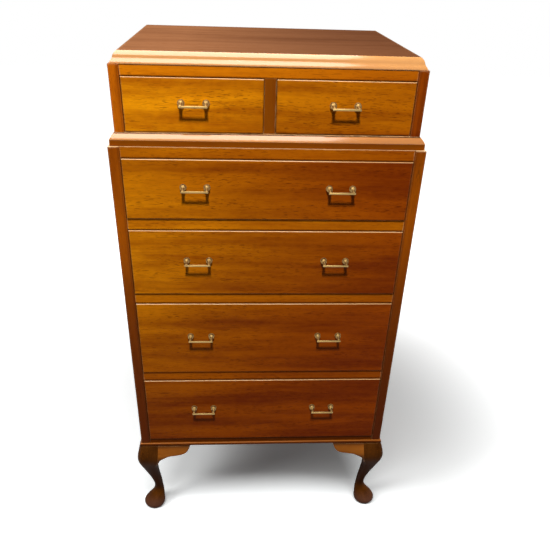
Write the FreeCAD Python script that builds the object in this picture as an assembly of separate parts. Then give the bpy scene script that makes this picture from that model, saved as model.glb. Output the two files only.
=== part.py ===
import FreeCAD, Part

import math
import os

# A tallboy chest of drawers: two short drawers over four long graduated ones, a moulded top and waist,
# and four cabriole legs with pad feet. Millimetres, +Z up, the drawers open towards -Y.
# Inside this file a depth is measured back from the front of the lower stiles; export() moves every
# piece so that the origin lies on the floor under the middle of the whole chest.

Vector = FreeCAD.Vector

# ---- carcass ------------------------------------------------------------------------------------
CHEST_WIDTH = 813.0             # outside of the lower sides
CHEST_HEIGHT = 1525.5           # floor to the flat of the top
CHEST_DEPTH = 610.0             # front of the lower stiles to the back
LEG_HEIGHT = 299.0              # floor to the underside of the base board
BASE_THICKNESS = 12.0
NOSING = 5.0                    # the base board stands out this far at the front and the sides
SIDE_THICKNESS = 19.0
BACK_THICKNESS = 6.0
BACK_LAP = 10.0                 # how far the back panel is let into each side
STILE_DEPTH = 22.0
LOWER_STILE = 29.0
UPPER_STILE = 26.0
STILE_ROUNDING = 5.0            # inner front edges of the stiles
CORNER_ROUNDING = 1.5           # outer front corners of the stiles
RAIL_RECESS = 6.0               # rails lie this far behind the front of the stiles
RAIL_DEPTH = 45.0
RAIL_HEIGHT = 31.0
BOTTOM_RAIL = 15.0
LOWER_TOP_RAIL = 28.0
UPPER_TOP_RAIL = 26.0
DIVIDER_WIDTH = 29.0            # upright between the short drawers
PARTITION_THICKNESS = 19.0      # the board behind that upright
UPPER_BOTTOM = 18.5             # bottom board of the upper carcass
LOWER_TOP = 19.0                # top board of the lower carcass

# ---- waist and top ------------------------------------------------------------------------------
SIDE_STEP = 17.0                # the upper carcass is this much narrower on each side
WAIST_LEDGE = 4.0               # ledge of the lower carcass that shows outside the waist moulding
WAIST_FACE = 15.0               # upright face of the waist moulding
WAIST_SLOPE = 16.5              # rise of its sloped top
WAIST_CROWN = 1.2               # how far the slope swells above a straight line
TOP_THICKNESS = 28.0
TOP_LEDGE = 4.0                 # ledge of the upper carcass that shows outside the top board
TOP_MARGIN = 21.5               # flat of the top lies this far inside the upper carcass
TOP_LAND = 3.0                  # level strip that each moulded length keeps beside the flat board
TOP_SHOULDER = 12.0             # drop of the upper round of the top's edge
TOP_SHOULDER_RUN = 9.5          # width of that round
TOP_SHOULDER_SWELL = 1.6        # how far that round swells out of its chord
TOP_HOLLOW = 0.55               # depth of the hollow below it
TOP_FOOT_SWELL = 0.7            # swell of the round at the foot of the edge

# ---- drawers ------------------------------------------------------------------------------------
LONG_SHARES = (0.190, 0.231, 0.291, 0.288)   # of the height of the four long fronts, from the top down
SHORT_FRONT = 130.0
FRONT_THICKNESS = 20.0
FRONT_ROUNDING = 2.5
FRONT_GAP = 1.5                 # above and below each drawer front
SIDE_GAP = 1.25                 # beside each drawer front
DRAWER_SIDE = 12.0
DRAWER_BACK = 10.0
SPACE_BEHIND = 29.0             # from the back of every drawer to the back panel
SIDE_TOP_DROP = 4.0             # drawer sides end this far below the top of the front
BACK_TOP_DROP = 6.0             # drawer backs end this far below the sides
PLY_THICKNESS = 5.0
PLY_RISE = 10.0                 # underside of the ply above the lower edge of the sides
GROOVE_DEPTH = 5.0
LAP = 6.0                       # solid wood left in front of the half-blind dovetails
TAIL_PITCH = 46.0               # dovetails are spaced about this far apart
TAIL_SHARE = 0.62               # narrow width of a tail as a share of its pitch
TAIL_SLOPE = 1.0 / 7.0
RUNNING_CLEARANCE = 0.3         # drawer sides above their runners, and fronts before their stops
RUNNER_WIDTH = 30.0
RUNNER_THICKNESS = 19.0
GUIDE_HEIGHT = 22.0
BACK_CLEARANCE = 4.0            # runners end this far before the back panel
STOP_WIDTH = 40.0
STOP_DEPTH = 18.0
STOP_HEIGHT = 6.0
STOP_INSET = 70.0               # outer end of a stop from the end of its drawer front

# ---- pulls --------------------------------------------------------------------------------------
PULL_SPACING = 375.0            # between the two pulls of a long drawer
PULL_RISE = 0.56                # height of the pulls as a share of each front's height
PULL_CENTRES = 62.0             # between the two posts of one pull
BAR_LENGTH = 72.0
BAR_DIAMETER = 5.5
PULL_REACH = 28.3               # axis of the bar in front of the drawer face
PULL_DROP = 6.4                 # axis of the bar below the middle of the posts
ROSE_DIAMETER = 19.0
ROSE_RIM = 1.4
DOME_DIAMETER = 15.5
DOME_HEIGHT = 8.0
NECK_DIAMETER = 7.0
NECK_TIP = 5.0
NECK_FLAT = 7.4                 # flat on the crown of the dome that the neck grows from
BAR_SIDES = 10                  # flats around the bar and the necks
ROSE_SIDES = 14                 # flats around the roses and domes
DOME_STEPS = 3                  # levels of a dome

# ---- legs ---------------------------------------------------------------------------------------
KNEE_PROJECTION = 18.0          # knees stand out this far beyond the faces of the carcass
LEG_BLOCK = 60.0                # square section of a leg under the base board
ANKLE_HEIGHT = 74.0
ANKLE_DIAMETER = 29.5
ANKLE_INSET = 23.3              # outer side of the ankle inside the faces of the carcass
KNEE_HEIGHT = 243.0
KNEE_WIDTH = 67.0
PAD_DIAMETER = 73.5
PAD_HEIGHT = 16.0               # level where the pad foot is widest
PAD_OVERHANG = 15.4             # the pad stands out this far beyond the faces of the carcass
SOLE_DIAMETER = 61.0
TENON_SIDE = 24.0               # square tenon that holds a leg in the base board
TENON_LENGTH = 9.0
TENON_CLEARANCE = 0.4           # mortise over tenon, in width and in depth
EAR_LENGTH = 107.0
EAR_DROP = 66.0                 # height of an ear where it meets the leg
EAR_WAIST = 41.0                # height of an ear along its run
EAR_BACK = 22.0                 # rear face of an ear behind the face of the carcass
EAR_TIP_PROJECTION = 4.5        # front of an ear's thin end beyond the face of the carcass
EAR_TIP_BOW = 2.0               # how much further it stands out at its lower edge
EAR_SCRIBE = 1.0                # the ear lies this far inside the knee at its lower edge
EAR_BROW = 0.80                 # swell of an ear at half height beside the leg, as a share of the knee's
LEG_ROUNDNESS = 0.62            # rounded part of each side of a leg's section
EAR_START = 0.5                 # an ear starts at this share of the way into the leg's rounded corner
CORNER_FLATS = 3                # flats around each corner of a leg's section
LEG_STEPS = 17                  # sections along a leg

# Lower edge of an ear, from the thin end to the leg: share of its length, and rise above its waist as a
# share of the waist's height or drop below it as a share of what is left to the heel.
EAR_TIP = (0.905, 0.38)
EAR_SHOULDER = (0.77, 0.10)
EAR_MIDDLE = 0.56
EAR_HOLLOW = (0.32, 0.10)
EAR_HEEL = (0.115, 0.46)

# Template of a leg. Each row is a share of the stretch's height, a share of the outer side's swing
# over it, and how far the inner side lies behind the knee or the pad.
KNEE_BROW = (0.50, 0.72, 1.0)
KNEE_BACK = 1.5                 # the knee is this much deeper than its nominal width at its widest level
SHIN_CURVE = ((0.80, 0.83, 3.5), (0.60, 0.56, 5.5), (0.38, 0.28, 2.5))
SHIN_END = (0.16, 0.07, 2.0)
INSTEP_START = (0.74, 0.09, 1.9)
INSTEP_CURVE = ((0.44, 0.43, 1.6), (0.20, 0.81, 0.6))
PAD_TURN = (0.42, 0.30)         # level and inset of the pad's turn to the sole, as shares

# ---- derived places -----------------------------------------------------------------------------
HALF = CHEST_WIDTH / 2
UPPER_HALF = HALF - SIDE_STEP
FRONT_STEP = SIDE_STEP + RAIL_RECESS
LOWER_OPENING = HALF - LOWER_STILE
UPPER_OPENING = UPPER_HALF - UPPER_STILE
LOWER_INSIDE = HALF - SIDE_THICKNESS
UPPER_INSIDE = UPPER_HALF - SIDE_THICKNESS
BASE_TOP = LEG_HEIGHT + BASE_THICKNESS
DRAWER_END = CHEST_DEPTH - BACK_THICKNESS - SPACE_BEHIND
PULL_PROJECTION = PULL_REACH + BAR_DIAMETER / 2
FRONT_Y = PULL_PROJECTION - (PULL_PROJECTION + CHEST_DEPTH + KNEE_PROJECTION) / 2
UPPER_HEIGHT = CHEST_HEIGHT - TOP_THICKNESS
UPPER_RAIL_EDGE = UPPER_HEIGHT - UPPER_TOP_RAIL
SHORT_EDGE = UPPER_RAIL_EDGE - FRONT_GAP - SHORT_FRONT
UPPER_FLOOR = SHORT_EDGE - FRONT_GAP            # the short drawers run out level over the waist moulding
LOWER_HEIGHT = UPPER_FLOOR - WAIST_SLOPE - WAIST_FACE
LAST_OPENING = LOWER_HEIGHT - LOWER_TOP_RAIL
FIRST_OPENING = BASE_TOP + BOTTOM_RAIL


def long_fronts():
    """Lower edge and height of every long front, from the top drawer down."""
    between = (len(LONG_SHARES) - 1) * RAIL_HEIGHT + 2 * len(LONG_SHARES) * FRONT_GAP
    room = LAST_OPENING - FIRST_OPENING - between
    level = LAST_OPENING
    fronts = []
    for share in LONG_SHARES:
        level -= FRONT_GAP + room * share
        fronts.append((level, room * share))
        level -= FRONT_GAP + RAIL_HEIGHT
    return fronts


LONG_FRONTS = long_fronts()


# ---- small tools --------------------------------------------------------------------------------
def box(x, y, z):
    """A box from three (low, high) pairs."""
    size = [high - low for low, high in (x, y, z)]
    return Part.makeBox(*size, Vector(x[0], y[0], z[0]))


def prism(points, direction):
    """The closed outline through the points, pushed along the direction."""
    wire = Part.makePolygon([Vector(*p) for p in points + points[:1]])
    return Part.Face(wire).extrude(Vector(*direction))


def swept(edges, direction):
    """A closed chain of edges, pushed along the direction."""
    return Part.Face(Part.Wire(edges)).extrude(Vector(*direction))


def stacked(rings):
    """A solid through rings of points. Neighbouring rings are scaled copies, so every side is flat."""
    faces = [Part.Face(Part.makePolygon(ring + ring[:1])) for ring in (rings[0], rings[-1])]
    for near, far in zip(rings, rings[1:]):
        for left in range(len(near)):
            right = (left + 1) % len(near)
            outline = [near[left], near[right], far[right], far[left], near[left]]
            faces.append(Part.Face(Part.makePolygon(outline)))
    solid = Part.Solid(Part.Shell(faces))
    if solid.Volume < 0:
        solid.reverse()
    return solid


def mirrored(shape):
    """The shape on the other side of the middle of the chest."""
    return shape.mirror(Vector(0, 0, 0), Vector(1, 0, 0))


def fused(shapes):
    """One clean solid from overlapping or touching solids."""
    first, *others = shapes
    return first.fuse(others).removeSplitter() if others else first


def group(shapes):
    return Part.makeCompound([solid for shape in shapes for solid in shape.Solids])


def upright_edges(shape, x, y):
    """The vertical edges of the shape that stand at x and y."""
    found = []
    for edge in shape.Edges:
        low, high = edge.Vertexes[0].Point, edge.Vertexes[-1].Point
        level_run = math.hypot(high.x - low.x, high.y - low.y)
        if level_run < 1e-6 and math.hypot(low.x - x, low.y - y) < 1e-3:
            found.append(edge)
    return found


def face_edges(shape, y):
    """The edges of the shape that lie wholly in the plane at depth y."""
    return [edge for edge in shape.Edges
            if all(abs(vertex.Point.y - y) < 1e-6 for vertex in edge.Vertexes)]


# ---- carcass pieces -----------------------------------------------------------------------------
def side_panel(half, front, bottom, top):
    """The right-hand side of a carcass, with a rebate for the back panel."""
    panel = box((half - SIDE_THICKNESS, half), (front + STILE_DEPTH, CHEST_DEPTH), (bottom, top))
    rebate = box((half - SIDE_THICKNESS, half - SIDE_THICKNESS + BACK_LAP),
                 (CHEST_DEPTH - BACK_THICKNESS, CHEST_DEPTH), (bottom, top))
    return panel.cut(rebate)


def stile(half, width, front, bottom, top):
    """The right-hand stile of a carcass front, rounded towards the drawers."""
    post = box((half - width, half), (front, front + STILE_DEPTH), (bottom, top))
    post = post.makeFillet(STILE_ROUNDING, upright_edges(post, half - width, front))
    return post.makeFillet(CORNER_ROUNDING, upright_edges(post, half, front))


def rail(opening, inside, front, bottom, top):
    """A rail between the stiles, wider behind them where it meets the sides."""
    face = front + RAIL_RECESS
    shoulder = front + STILE_DEPTH
    back = face + RAIL_DEPTH
    outline = [(-opening, face), (opening, face), (opening, shoulder), (inside, shoulder),
               (inside, back), (-inside, back), (-inside, shoulder), (-opening, shoulder)]
    return prism([(x, y, bottom) for x, y in outline], (0, 0, top - bottom))


def back_panel(half, bottom, top):
    reach = half - SIDE_THICKNESS + BACK_LAP
    return box((-reach, reach), (CHEST_DEPTH - BACK_THICKNESS, CHEST_DEPTH), (bottom, top))


def runner(top):
    """The right-hand runner of a long drawer: a shelf with a guide standing on its outer part."""
    front = RAIL_RECESS + RAIL_DEPTH
    end = CHEST_DEPTH - BACK_THICKNESS - BACK_CLEARANCE
    inner = LOWER_INSIDE - RUNNER_WIDTH
    outline = [(inner, top - RUNNER_THICKNESS), (LOWER_INSIDE, top - RUNNER_THICKNESS),
               (LOWER_INSIDE, top + GUIDE_HEIGHT), (LOWER_OPENING, top + GUIDE_HEIGHT),
               (LOWER_OPENING, top), (inner, top)]
    return prism([(x, front, z) for x, z in outline], (0, end - front, 0))


def bottom_runner(top):
    """The lowest runner stands on the base board, so it is only as high as the bottom rail."""
    shelf = runner(top)
    below = box((0, HALF), (0, CHEST_DEPTH), (BASE_TOP - RUNNER_THICKNESS, BASE_TOP))
    return shelf.cut(below)


def upper_guides():
    """Strips on the bottom board that keep the short drawers straight."""
    front = FRONT_STEP + RAIL_RECESS + STILE_DEPTH
    end = CHEST_DEPTH - BACK_THICKNESS - BACK_CLEARANCE
    level = (UPPER_FLOOR, UPPER_FLOOR + GUIDE_HEIGHT)
    outer = box((UPPER_OPENING, UPPER_INSIDE), (front, end), level)
    inner = box((PARTITION_THICKNESS / 2, DIVIDER_WIDTH / 2), (front, end), level)
    return [outer, mirrored(outer), inner, mirrored(inner)]


def stops(front, floor, low, high):
    """Two blocks behind a closed drawer front, low enough for the drawer's bottom to pass over."""
    start = front + FRONT_THICKNESS + RUNNING_CLEARANCE
    depth = (start, start + STOP_DEPTH)
    level = (floor, floor + STOP_HEIGHT)
    first = low + STOP_INSET
    second = high - STOP_INSET - STOP_WIDTH
    return [box((x, x + STOP_WIDTH), depth, level) for x in (first, second)]


def centre_divider():
    """The upright between the short drawers and the partition behind it."""
    face = FRONT_STEP + RAIL_RECESS
    shoulder = face + STILE_DEPTH
    half_post, half_board = DIVIDER_WIDTH / 2, PARTITION_THICKNESS / 2
    end = CHEST_DEPTH - BACK_THICKNESS
    outline = [(-half_post, face), (half_post, face), (half_post, shoulder), (half_board, shoulder),
               (half_board, end), (-half_board, end), (-half_board, shoulder), (-half_post, shoulder)]
    post = prism([(x, y, UPPER_FLOOR) for x, y in outline], (0, 0, UPPER_HEIGHT - UPPER_FLOOR))
    rail_space = box((-HALF, HALF), (0, face + RAIL_DEPTH), (UPPER_RAIL_EDGE, UPPER_HEIGHT))
    return post.cut(rail_space)


# ---- mouldings ----------------------------------------------------------------------------------
def arc(start, middle, end):
    return Part.Arc(Vector(*start), Vector(*middle), Vector(*end)).toShape()


def line(start, end):
    return Part.LineSegment(Vector(*start), Vector(*end)).toShape()


def bulged(start, end, swell):
    """An arc in the (run, level) plane that swells to the left of the way from start to end."""
    run, rise = end[0] - start[0], end[1] - start[1]
    length = math.hypot(run, rise)
    middle = ((start[0] + end[0]) / 2 - swell * rise / length,
              (start[1] + end[1]) / 2 + swell * run / length)
    return start, middle, end


def across_front(point, offset):
    """A (distance in from the face, level) point as a point in the plane of a front moulding."""
    return (0, offset + point[0], point[1])


def across_side(point, half):
    """The same point in the plane of a right-hand side moulding."""
    return (half - point[0], 0, point[1])


def top_edge():
    """Arcs of the top's edge from the flat down to the ledge, as distances in from the face."""
    flat = (TOP_MARGIN, CHEST_HEIGHT)
    shoulder = (TOP_MARGIN - TOP_SHOULDER_RUN, CHEST_HEIGHT - TOP_SHOULDER)
    foot = (TOP_LEDGE, UPPER_HEIGHT)
    turn = ((shoulder[0] + foot[0]) / 2, (shoulder[1] + foot[1]) / 2)
    return [bulged(flat, shoulder, -TOP_SHOULDER_SWELL), bulged(shoulder, turn, TOP_HOLLOW),
            bulged(turn, foot, -TOP_FOOT_SWELL)]


def edge_solid(arcs, place, inner, direction):
    """The moulded edge and all the wood behind it up to the inner distance."""
    start, end = arcs[0][0], arcs[-1][2]
    edges = [arc(*[place(point) for point in bend]) for bend in arcs]
    low, high = (inner, end[1]), (inner, start[1])
    edges += [line(place(end), place(low)), line(place(low), place(high)), line(place(high), place(start))]
    return swept(edges, direction)


def around(length, half, face, reach):
    """Three lengths of a moulding around the front and both sides, mitred at the front corners.

    The mitres start at the corner (half, face) and are as long as the reach, across and back."""
    front = length(lambda p: across_front(p, face), (CHEST_WIDTH, 0, 0))
    front.translate(Vector(-HALF, 0, 0))
    side = length(lambda p: across_side(p, half), (0, CHEST_DEPTH, 0))
    before = [(-half, face), (half, face), (half - reach, face + reach), (reach - half, face + reach)]
    behind = [(half, face), (half, CHEST_DEPTH), (half - reach, CHEST_DEPTH), (half - reach, face + reach)]
    room = (0, 0, CHEST_HEIGHT + TOP_THICKNESS)
    front = front.common(prism([(x, y, 0) for x, y in before], room))
    side = side.common(prism([(x, y, 0) for x, y in behind], room))
    return [front, side, mirrored(side)]


def top_board():
    """A flat board with three moulded lengths around it."""
    arcs = top_edge()
    strip = TOP_MARGIN + TOP_LAND
    edges = around(lambda place, direction: edge_solid(arcs, place, strip, direction),
                   UPPER_HALF, FRONT_STEP, 2 * strip)
    board = box((strip - UPPER_HALF, UPPER_HALF - strip), (FRONT_STEP + strip, CHEST_DEPTH),
                (UPPER_HEIGHT, CHEST_HEIGHT))
    return group([board] + edges)


def waist_moulding():
    """A moulding that covers the joint at the foot of the upper carcass."""
    start = (WAIST_LEDGE, LOWER_HEIGHT)
    brow = (WAIST_LEDGE, LOWER_HEIGHT + WAIST_FACE)
    crest = (SIDE_STEP, UPPER_FLOOR)
    heel = (SIDE_STEP, LOWER_HEIGHT)

    def length(place, direction):
        edges = [line(place(start), place(brow)),
                 arc(*[place(point) for point in bulged(brow, crest, WAIST_CROWN)]),
                 line(place(crest), place(heel)), line(place(heel), place(start))]
        return swept(edges, direction)

    return group(around(length, HALF, RAIL_RECESS, 2 * SIDE_STEP))


def base_board():
    """The board under the lower carcass, with a half-round nosing and mortises for the legs."""
    reach = HALF + NOSING
    radius = BASE_THICKNESS / 2
    half_round = [bulged((-NOSING + radius, BASE_TOP), (-NOSING + radius, LEG_HEIGHT), -radius)]
    slab = edge_solid(half_round, lambda p: across_front(p, 0), CHEST_DEPTH, (2 * reach, 0, 0))
    slab.translate(Vector(-reach, 0, 0))
    right = edge_solid(half_round, lambda p: across_side(p, HALF), HALF,
                       (0, CHEST_DEPTH + NOSING, 0))
    right.translate(Vector(0, -NOSING, 0))
    board = slab.common(fused([right, mirrored(right)]))
    return board.cut([tenon(centre, TENON_CLEARANCE) for centre in leg_centres()])


# ---- cabriole legs ------------------------------------------------------------------------------
def leg_pattern():
    """The leg's template from the block down, as (outer side, inner side, level).

    The outer and inner sides are distances in from the face of the carcass, and are the same seen
    from the front and from the side."""
    block = LEG_BLOCK - NOSING
    knee = KNEE_WIDTH - KNEE_PROJECTION
    ankle = ANKLE_INSET + ANKLE_DIAMETER
    pad = PAD_DIAMETER - PAD_OVERHANG
    rounding = (PAD_DIAMETER - SOLE_DIAMETER) / 2

    def stretch(row, low, high, near, far, inner):
        """A row of the template between the levels low and high, where the outer side swings near to far."""
        share, swing, taper = row
        return near + (far - near) * swing, inner - taper, low + (high - low) * share

    shin = (ANKLE_HEIGHT, KNEE_HEIGHT, ANKLE_INSET, -KNEE_PROJECTION)
    instep = (PAD_HEIGHT, ANKLE_HEIGHT, ANKLE_INSET, -PAD_OVERHANG)
    rows = [(-NOSING, block, LEG_HEIGHT),
            stretch(KNEE_BROW, KNEE_HEIGHT, LEG_HEIGHT, -NOSING, -KNEE_PROJECTION, block),
            (-KNEE_PROJECTION, knee + KNEE_BACK, KNEE_HEIGHT)]
    rows += [stretch(row, *shin, knee) for row in SHIN_CURVE]
    rows += [stretch(SHIN_END, *shin, ankle), (ANKLE_INSET, ankle, ANKLE_HEIGHT)]
    share, swing, swell = INSTEP_START
    rows.append(stretch((share, swing, -swell), *instep, ankle))
    rows += [stretch(row, *instep, pad) for row in INSTEP_CURVE]
    level, inset = PAD_TURN
    return rows + [(-PAD_OVERHANG, pad, PAD_HEIGHT),
                   (-PAD_OVERHANG + rounding * inset, pad - rounding * inset, PAD_HEIGHT * level),
                   (-PAD_OVERHANG + rounding, pad - rounding, 0.0)]


def leg_centres():
    """Middles of the four leg blocks: front left, front right, rear left, rear right."""
    across = HALF - (LEG_BLOCK - 2 * NOSING) / 2
    near = (LEG_BLOCK - 2 * NOSING) / 2
    return [(-across, near), (across, near), (-across, CHEST_DEPTH - near), (across, CHEST_DEPTH - near)]


def tenon(centre, clearance=0.0):
    """The square tenon on a leg, or with a clearance the room that its mortise needs."""
    reach = (TENON_SIDE + clearance) / 2
    x, y = centre
    level = (LEG_HEIGHT, LEG_HEIGHT + TENON_LENGTH + clearance)
    return box((x - reach, x + reach), (y - reach, y + reach), level)


def leg_section(outer, inner, level):
    """A square with rounded corners, as short flats, for a leg under the front right corner."""
    half = (inner - outer) / 2
    radius = half * LEG_ROUNDNESS
    flat = half - radius
    middle = (inner + outer) / 2
    points = []
    for quarter in range(4):
        start = math.pi / 2 * quarter
        corner = start + math.pi / 4
        reach = flat * math.sqrt(2)
        for number in range(CORNER_FLATS + 1):
            turn = start + math.pi / 2 * number / CORNER_FLATS
            points.append(Vector(HALF - middle + reach * math.cos(corner) + radius * math.cos(turn),
                                 middle + reach * math.sin(corner) + radius * math.sin(turn), level))
    return points


def leg_body():
    """The leg alone, built up through sections that follow its template smoothly."""
    template = Part.BSplineCurve()
    template.interpolate([Vector(*row) for row in leg_pattern()])
    last = template.LastParameter
    rows = [template.value(last * step / LEG_STEPS) for step in range(LEG_STEPS + 1)]
    return stacked([leg_section(*row) for row in rows])


def front_right_leg():
    """The leg with the tenon that holds it in the base board."""
    return leg_body().fuse(tenon(leg_centres()[1]))


def front_ear():
    """The ear between the front right leg and the middle: its front follows the leg, then thins out.

    It starts inside the rounded corner of the leg and is scribed to it."""
    joint = HALF - (LEG_BLOCK - NOSING)
    start = joint + LEG_BLOCK / 2 * LEG_ROUNDNESS * EAR_START
    tip = joint - EAR_LENGTH
    low = LEG_HEIGHT - EAR_DROP
    waist = LEG_HEIGHT - EAR_WAIST
    brow = (LEG_HEIGHT + low) / 2

    def section(x, top_front, middle_front, low_front):
        bow = arc((x, -top_front, LEG_HEIGHT), (x, -middle_front, brow), (x, -low_front, low))
        return Part.Wire([bow, line((x, -low_front, low), (x, EAR_BACK, low)),
                          line((x, EAR_BACK, low), (x, EAR_BACK, LEG_HEIGHT)),
                          line((x, EAR_BACK, LEG_HEIGHT), (x, -top_front, LEG_HEIGHT))])

    swell = NOSING + (KNEE_PROJECTION - NOSING) * EAR_BROW
    thick = section(start, NOSING, swell, KNEE_PROJECTION - EAR_SCRIBE)
    thin = section(tip, EAR_TIP_PROJECTION, EAR_TIP_PROJECTION + EAR_TIP_BOW, EAR_TIP_PROJECTION + EAR_TIP_BOW)
    body = Part.makeLoft([thick, thin], True, True)

    def at(inboard, level):
        return (joint - inboard, -KNEE_PROJECTION * 2, level)

    def above(bend):
        return at(EAR_LENGTH * bend[0], waist + EAR_WAIST * bend[1])

    def below(bend):
        return at(EAR_LENGTH * bend[0], waist - (EAR_DROP - EAR_WAIST) * bend[1])

    inside = joint - start
    middle = at(EAR_LENGTH * EAR_MIDDLE, waist)
    outline = [line(at(inside, LEG_HEIGHT), at(EAR_LENGTH, LEG_HEIGHT)),
               arc(at(EAR_LENGTH, LEG_HEIGHT), above(EAR_TIP), above(EAR_SHOULDER)),
               arc(above(EAR_SHOULDER), middle, below(EAR_HOLLOW)),
               arc(below(EAR_HOLLOW), below(EAR_HEEL), at(0, low)),
               line(at(0, low), at(inside, low)), line(at(inside, low), at(inside, LEG_HEIGHT))]
    ear = body.common(swept(outline, (0, KNEE_PROJECTION * 2 + EAR_BACK, 0)))
    pieces = ear.cut(leg_body()).Solids
    return max(pieces, key=lambda piece: piece.Volume)


def side_ear():
    """The same ear turned about the leg's corner, so that it lies under the side."""
    return front_ear().mirror(Vector(HALF, 0, 0), Vector(1, 1, 0))


def to_rear(shape):
    return shape.mirror(Vector(0, CHEST_DEPTH / 2, 0), Vector(0, 1, 0))


def knee_ears():
    """Two ears at the front and one on the side of every leg."""
    front, side = front_ear(), side_ear()
    right = [front, side, to_rear(side)]
    return group(right + [mirrored(ear) for ear in right])


# ---- drawers ------------------------------------------------------------------------------------
def tails(x, root, tip, z):
    """Dovetails as wedges that grow wider from the root depth to the tip depth."""
    bottom, top = z
    count = max(2, round((top - bottom) / TAIL_PITCH))
    pitch = (top - bottom) / count
    narrow = pitch * TAIL_SHARE / 2
    wide = narrow + abs(tip - root) * TAIL_SLOPE
    wedges = []
    for number in range(count):
        middle = bottom + pitch * (number + 0.5)
        outline = [(root, middle - narrow), (tip, middle - wide), (tip, middle + wide), (root, middle + narrow)]
        wedges.append(prism([(x[0], y, level) for y, level in outline], (x[1] - x[0], 0, 0)))
    return wedges


def drawer(low, high, front, bottom, height, pulls):
    """The six pieces of one drawer whose front spans low to high and stands up from bottom."""
    floor = bottom - FRONT_GAP + RUNNING_CLEARANCE
    rim = bottom + height - SIDE_TOP_DROP
    inner_face = front + FRONT_THICKNESS
    ply_level = floor + PLY_RISE
    level = bottom + height * PULL_RISE

    ply = box((low + DRAWER_SIDE - GROOVE_DEPTH, high - DRAWER_SIDE + GROOVE_DEPTH),
              (inner_face - GROOVE_DEPTH, DRAWER_END), (ply_level, ply_level + PLY_THICKNESS))
    left_band, right_band = (low, low + DRAWER_SIDE), (high - DRAWER_SIDE, high)

    joint_top = rim - SIDE_TOP_DROP
    front_tails = [tails(band, inner_face, front + LAP, (bottom + SIDE_TOP_DROP, joint_top))
                   for band in (left_band, right_band)]
    face = box((low, high), (front, inner_face), (bottom, bottom + height))
    face = face.makeFillet(FRONT_ROUNDING, face_edges(face, front))
    face = face.cut([wedge for band in front_tails for wedge in band] + [ply])

    back_rim = rim - BACK_TOP_DROP
    back_depth = (DRAWER_END - DRAWER_BACK, DRAWER_END)
    back_level = (ply_level + PLY_THICKNESS, back_rim)
    back_tails = [tails(band, back_depth[0], back_depth[1], back_level) for band in (left_band, right_band)]
    back = box((low, high), back_depth, back_level)
    back = back.cut([wedge for band in back_tails for wedge in band])

    sides = []
    for band, wedges in ((left_band, front_tails[0]), (right_band, front_tails[1])):
        board = box(band, (inner_face, DRAWER_END), (floor, rim))
        board = fused([board] + wedges).cut([back, ply])
        sides.append(board)

    brass = group([pull(x, front, level) for x in pulls])
    return {"front": face, "side_left": sides[0], "side_right": sides[1], "back": back, "bottom": ply,
            "pulls": brass}


def round_section(centre, ahead, left, radius, sides):
    """A round section as a ring of points, wide enough that the flats between them lie on the radius."""
    reach = radius / math.cos(math.pi / sides)
    points = []
    for number in range(sides):
        turn = 2 * math.pi * (number + 0.5) / sides
        points.append(centre + ahead * (reach * math.cos(turn)) + left * (reach * math.sin(turn)))
    return points


def pull(x, front, level):
    """A one-piece cast pull: a straight bar on two domed posts with raking necks."""
    axis = Vector(x, front - PULL_REACH, level - PULL_DROP)
    along, forward, up = Vector(1, 0, 0), Vector(0, -1, 0), Vector(0, 0, 1)
    ends = [axis + along * (BAR_LENGTH / 2 * side) for side in (-1, 1)]
    parts = [stacked([round_section(end, forward, up, BAR_DIAMETER / 2, BAR_SIDES) for end in ends])]
    for side in (-1, 1):
        middle = x + side * PULL_CENTRES / 2
        crown = Vector(middle, front - DOME_HEIGHT, level)
        root = round_section(crown, along, up, NECK_DIAMETER / 2, BAR_SIDES)
        tip = round_section(Vector(middle, axis.y, axis.z), along, up, NECK_TIP / 2, BAR_SIDES)
        parts += [post(middle, front, level), stacked([root, tip])]
    return fused(parts)


def post(x, front, z):
    """The rose against the drawer, and the dome that rises from it to the flat under the neck."""
    rose, dome, flat = ROSE_DIAMETER / 2, DOME_DIAMETER / 2, NECK_FLAT / 2
    profile = [(rose, 0), (rose, ROSE_RIM)]
    for step in range(DOME_STEPS + 1):
        turn = math.pi / 2 * step / DOME_STEPS
        profile.append((flat + (dome - flat) * math.cos(turn),
                        ROSE_RIM + (DOME_HEIGHT - ROSE_RIM) * math.sin(turn)))
    along, up = Vector(1, 0, 0), Vector(0, 0, 1)
    return stacked([round_section(Vector(x, front - height, z), along, up, radius, ROSE_SIDES)
                    for radius, height in profile])


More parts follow.
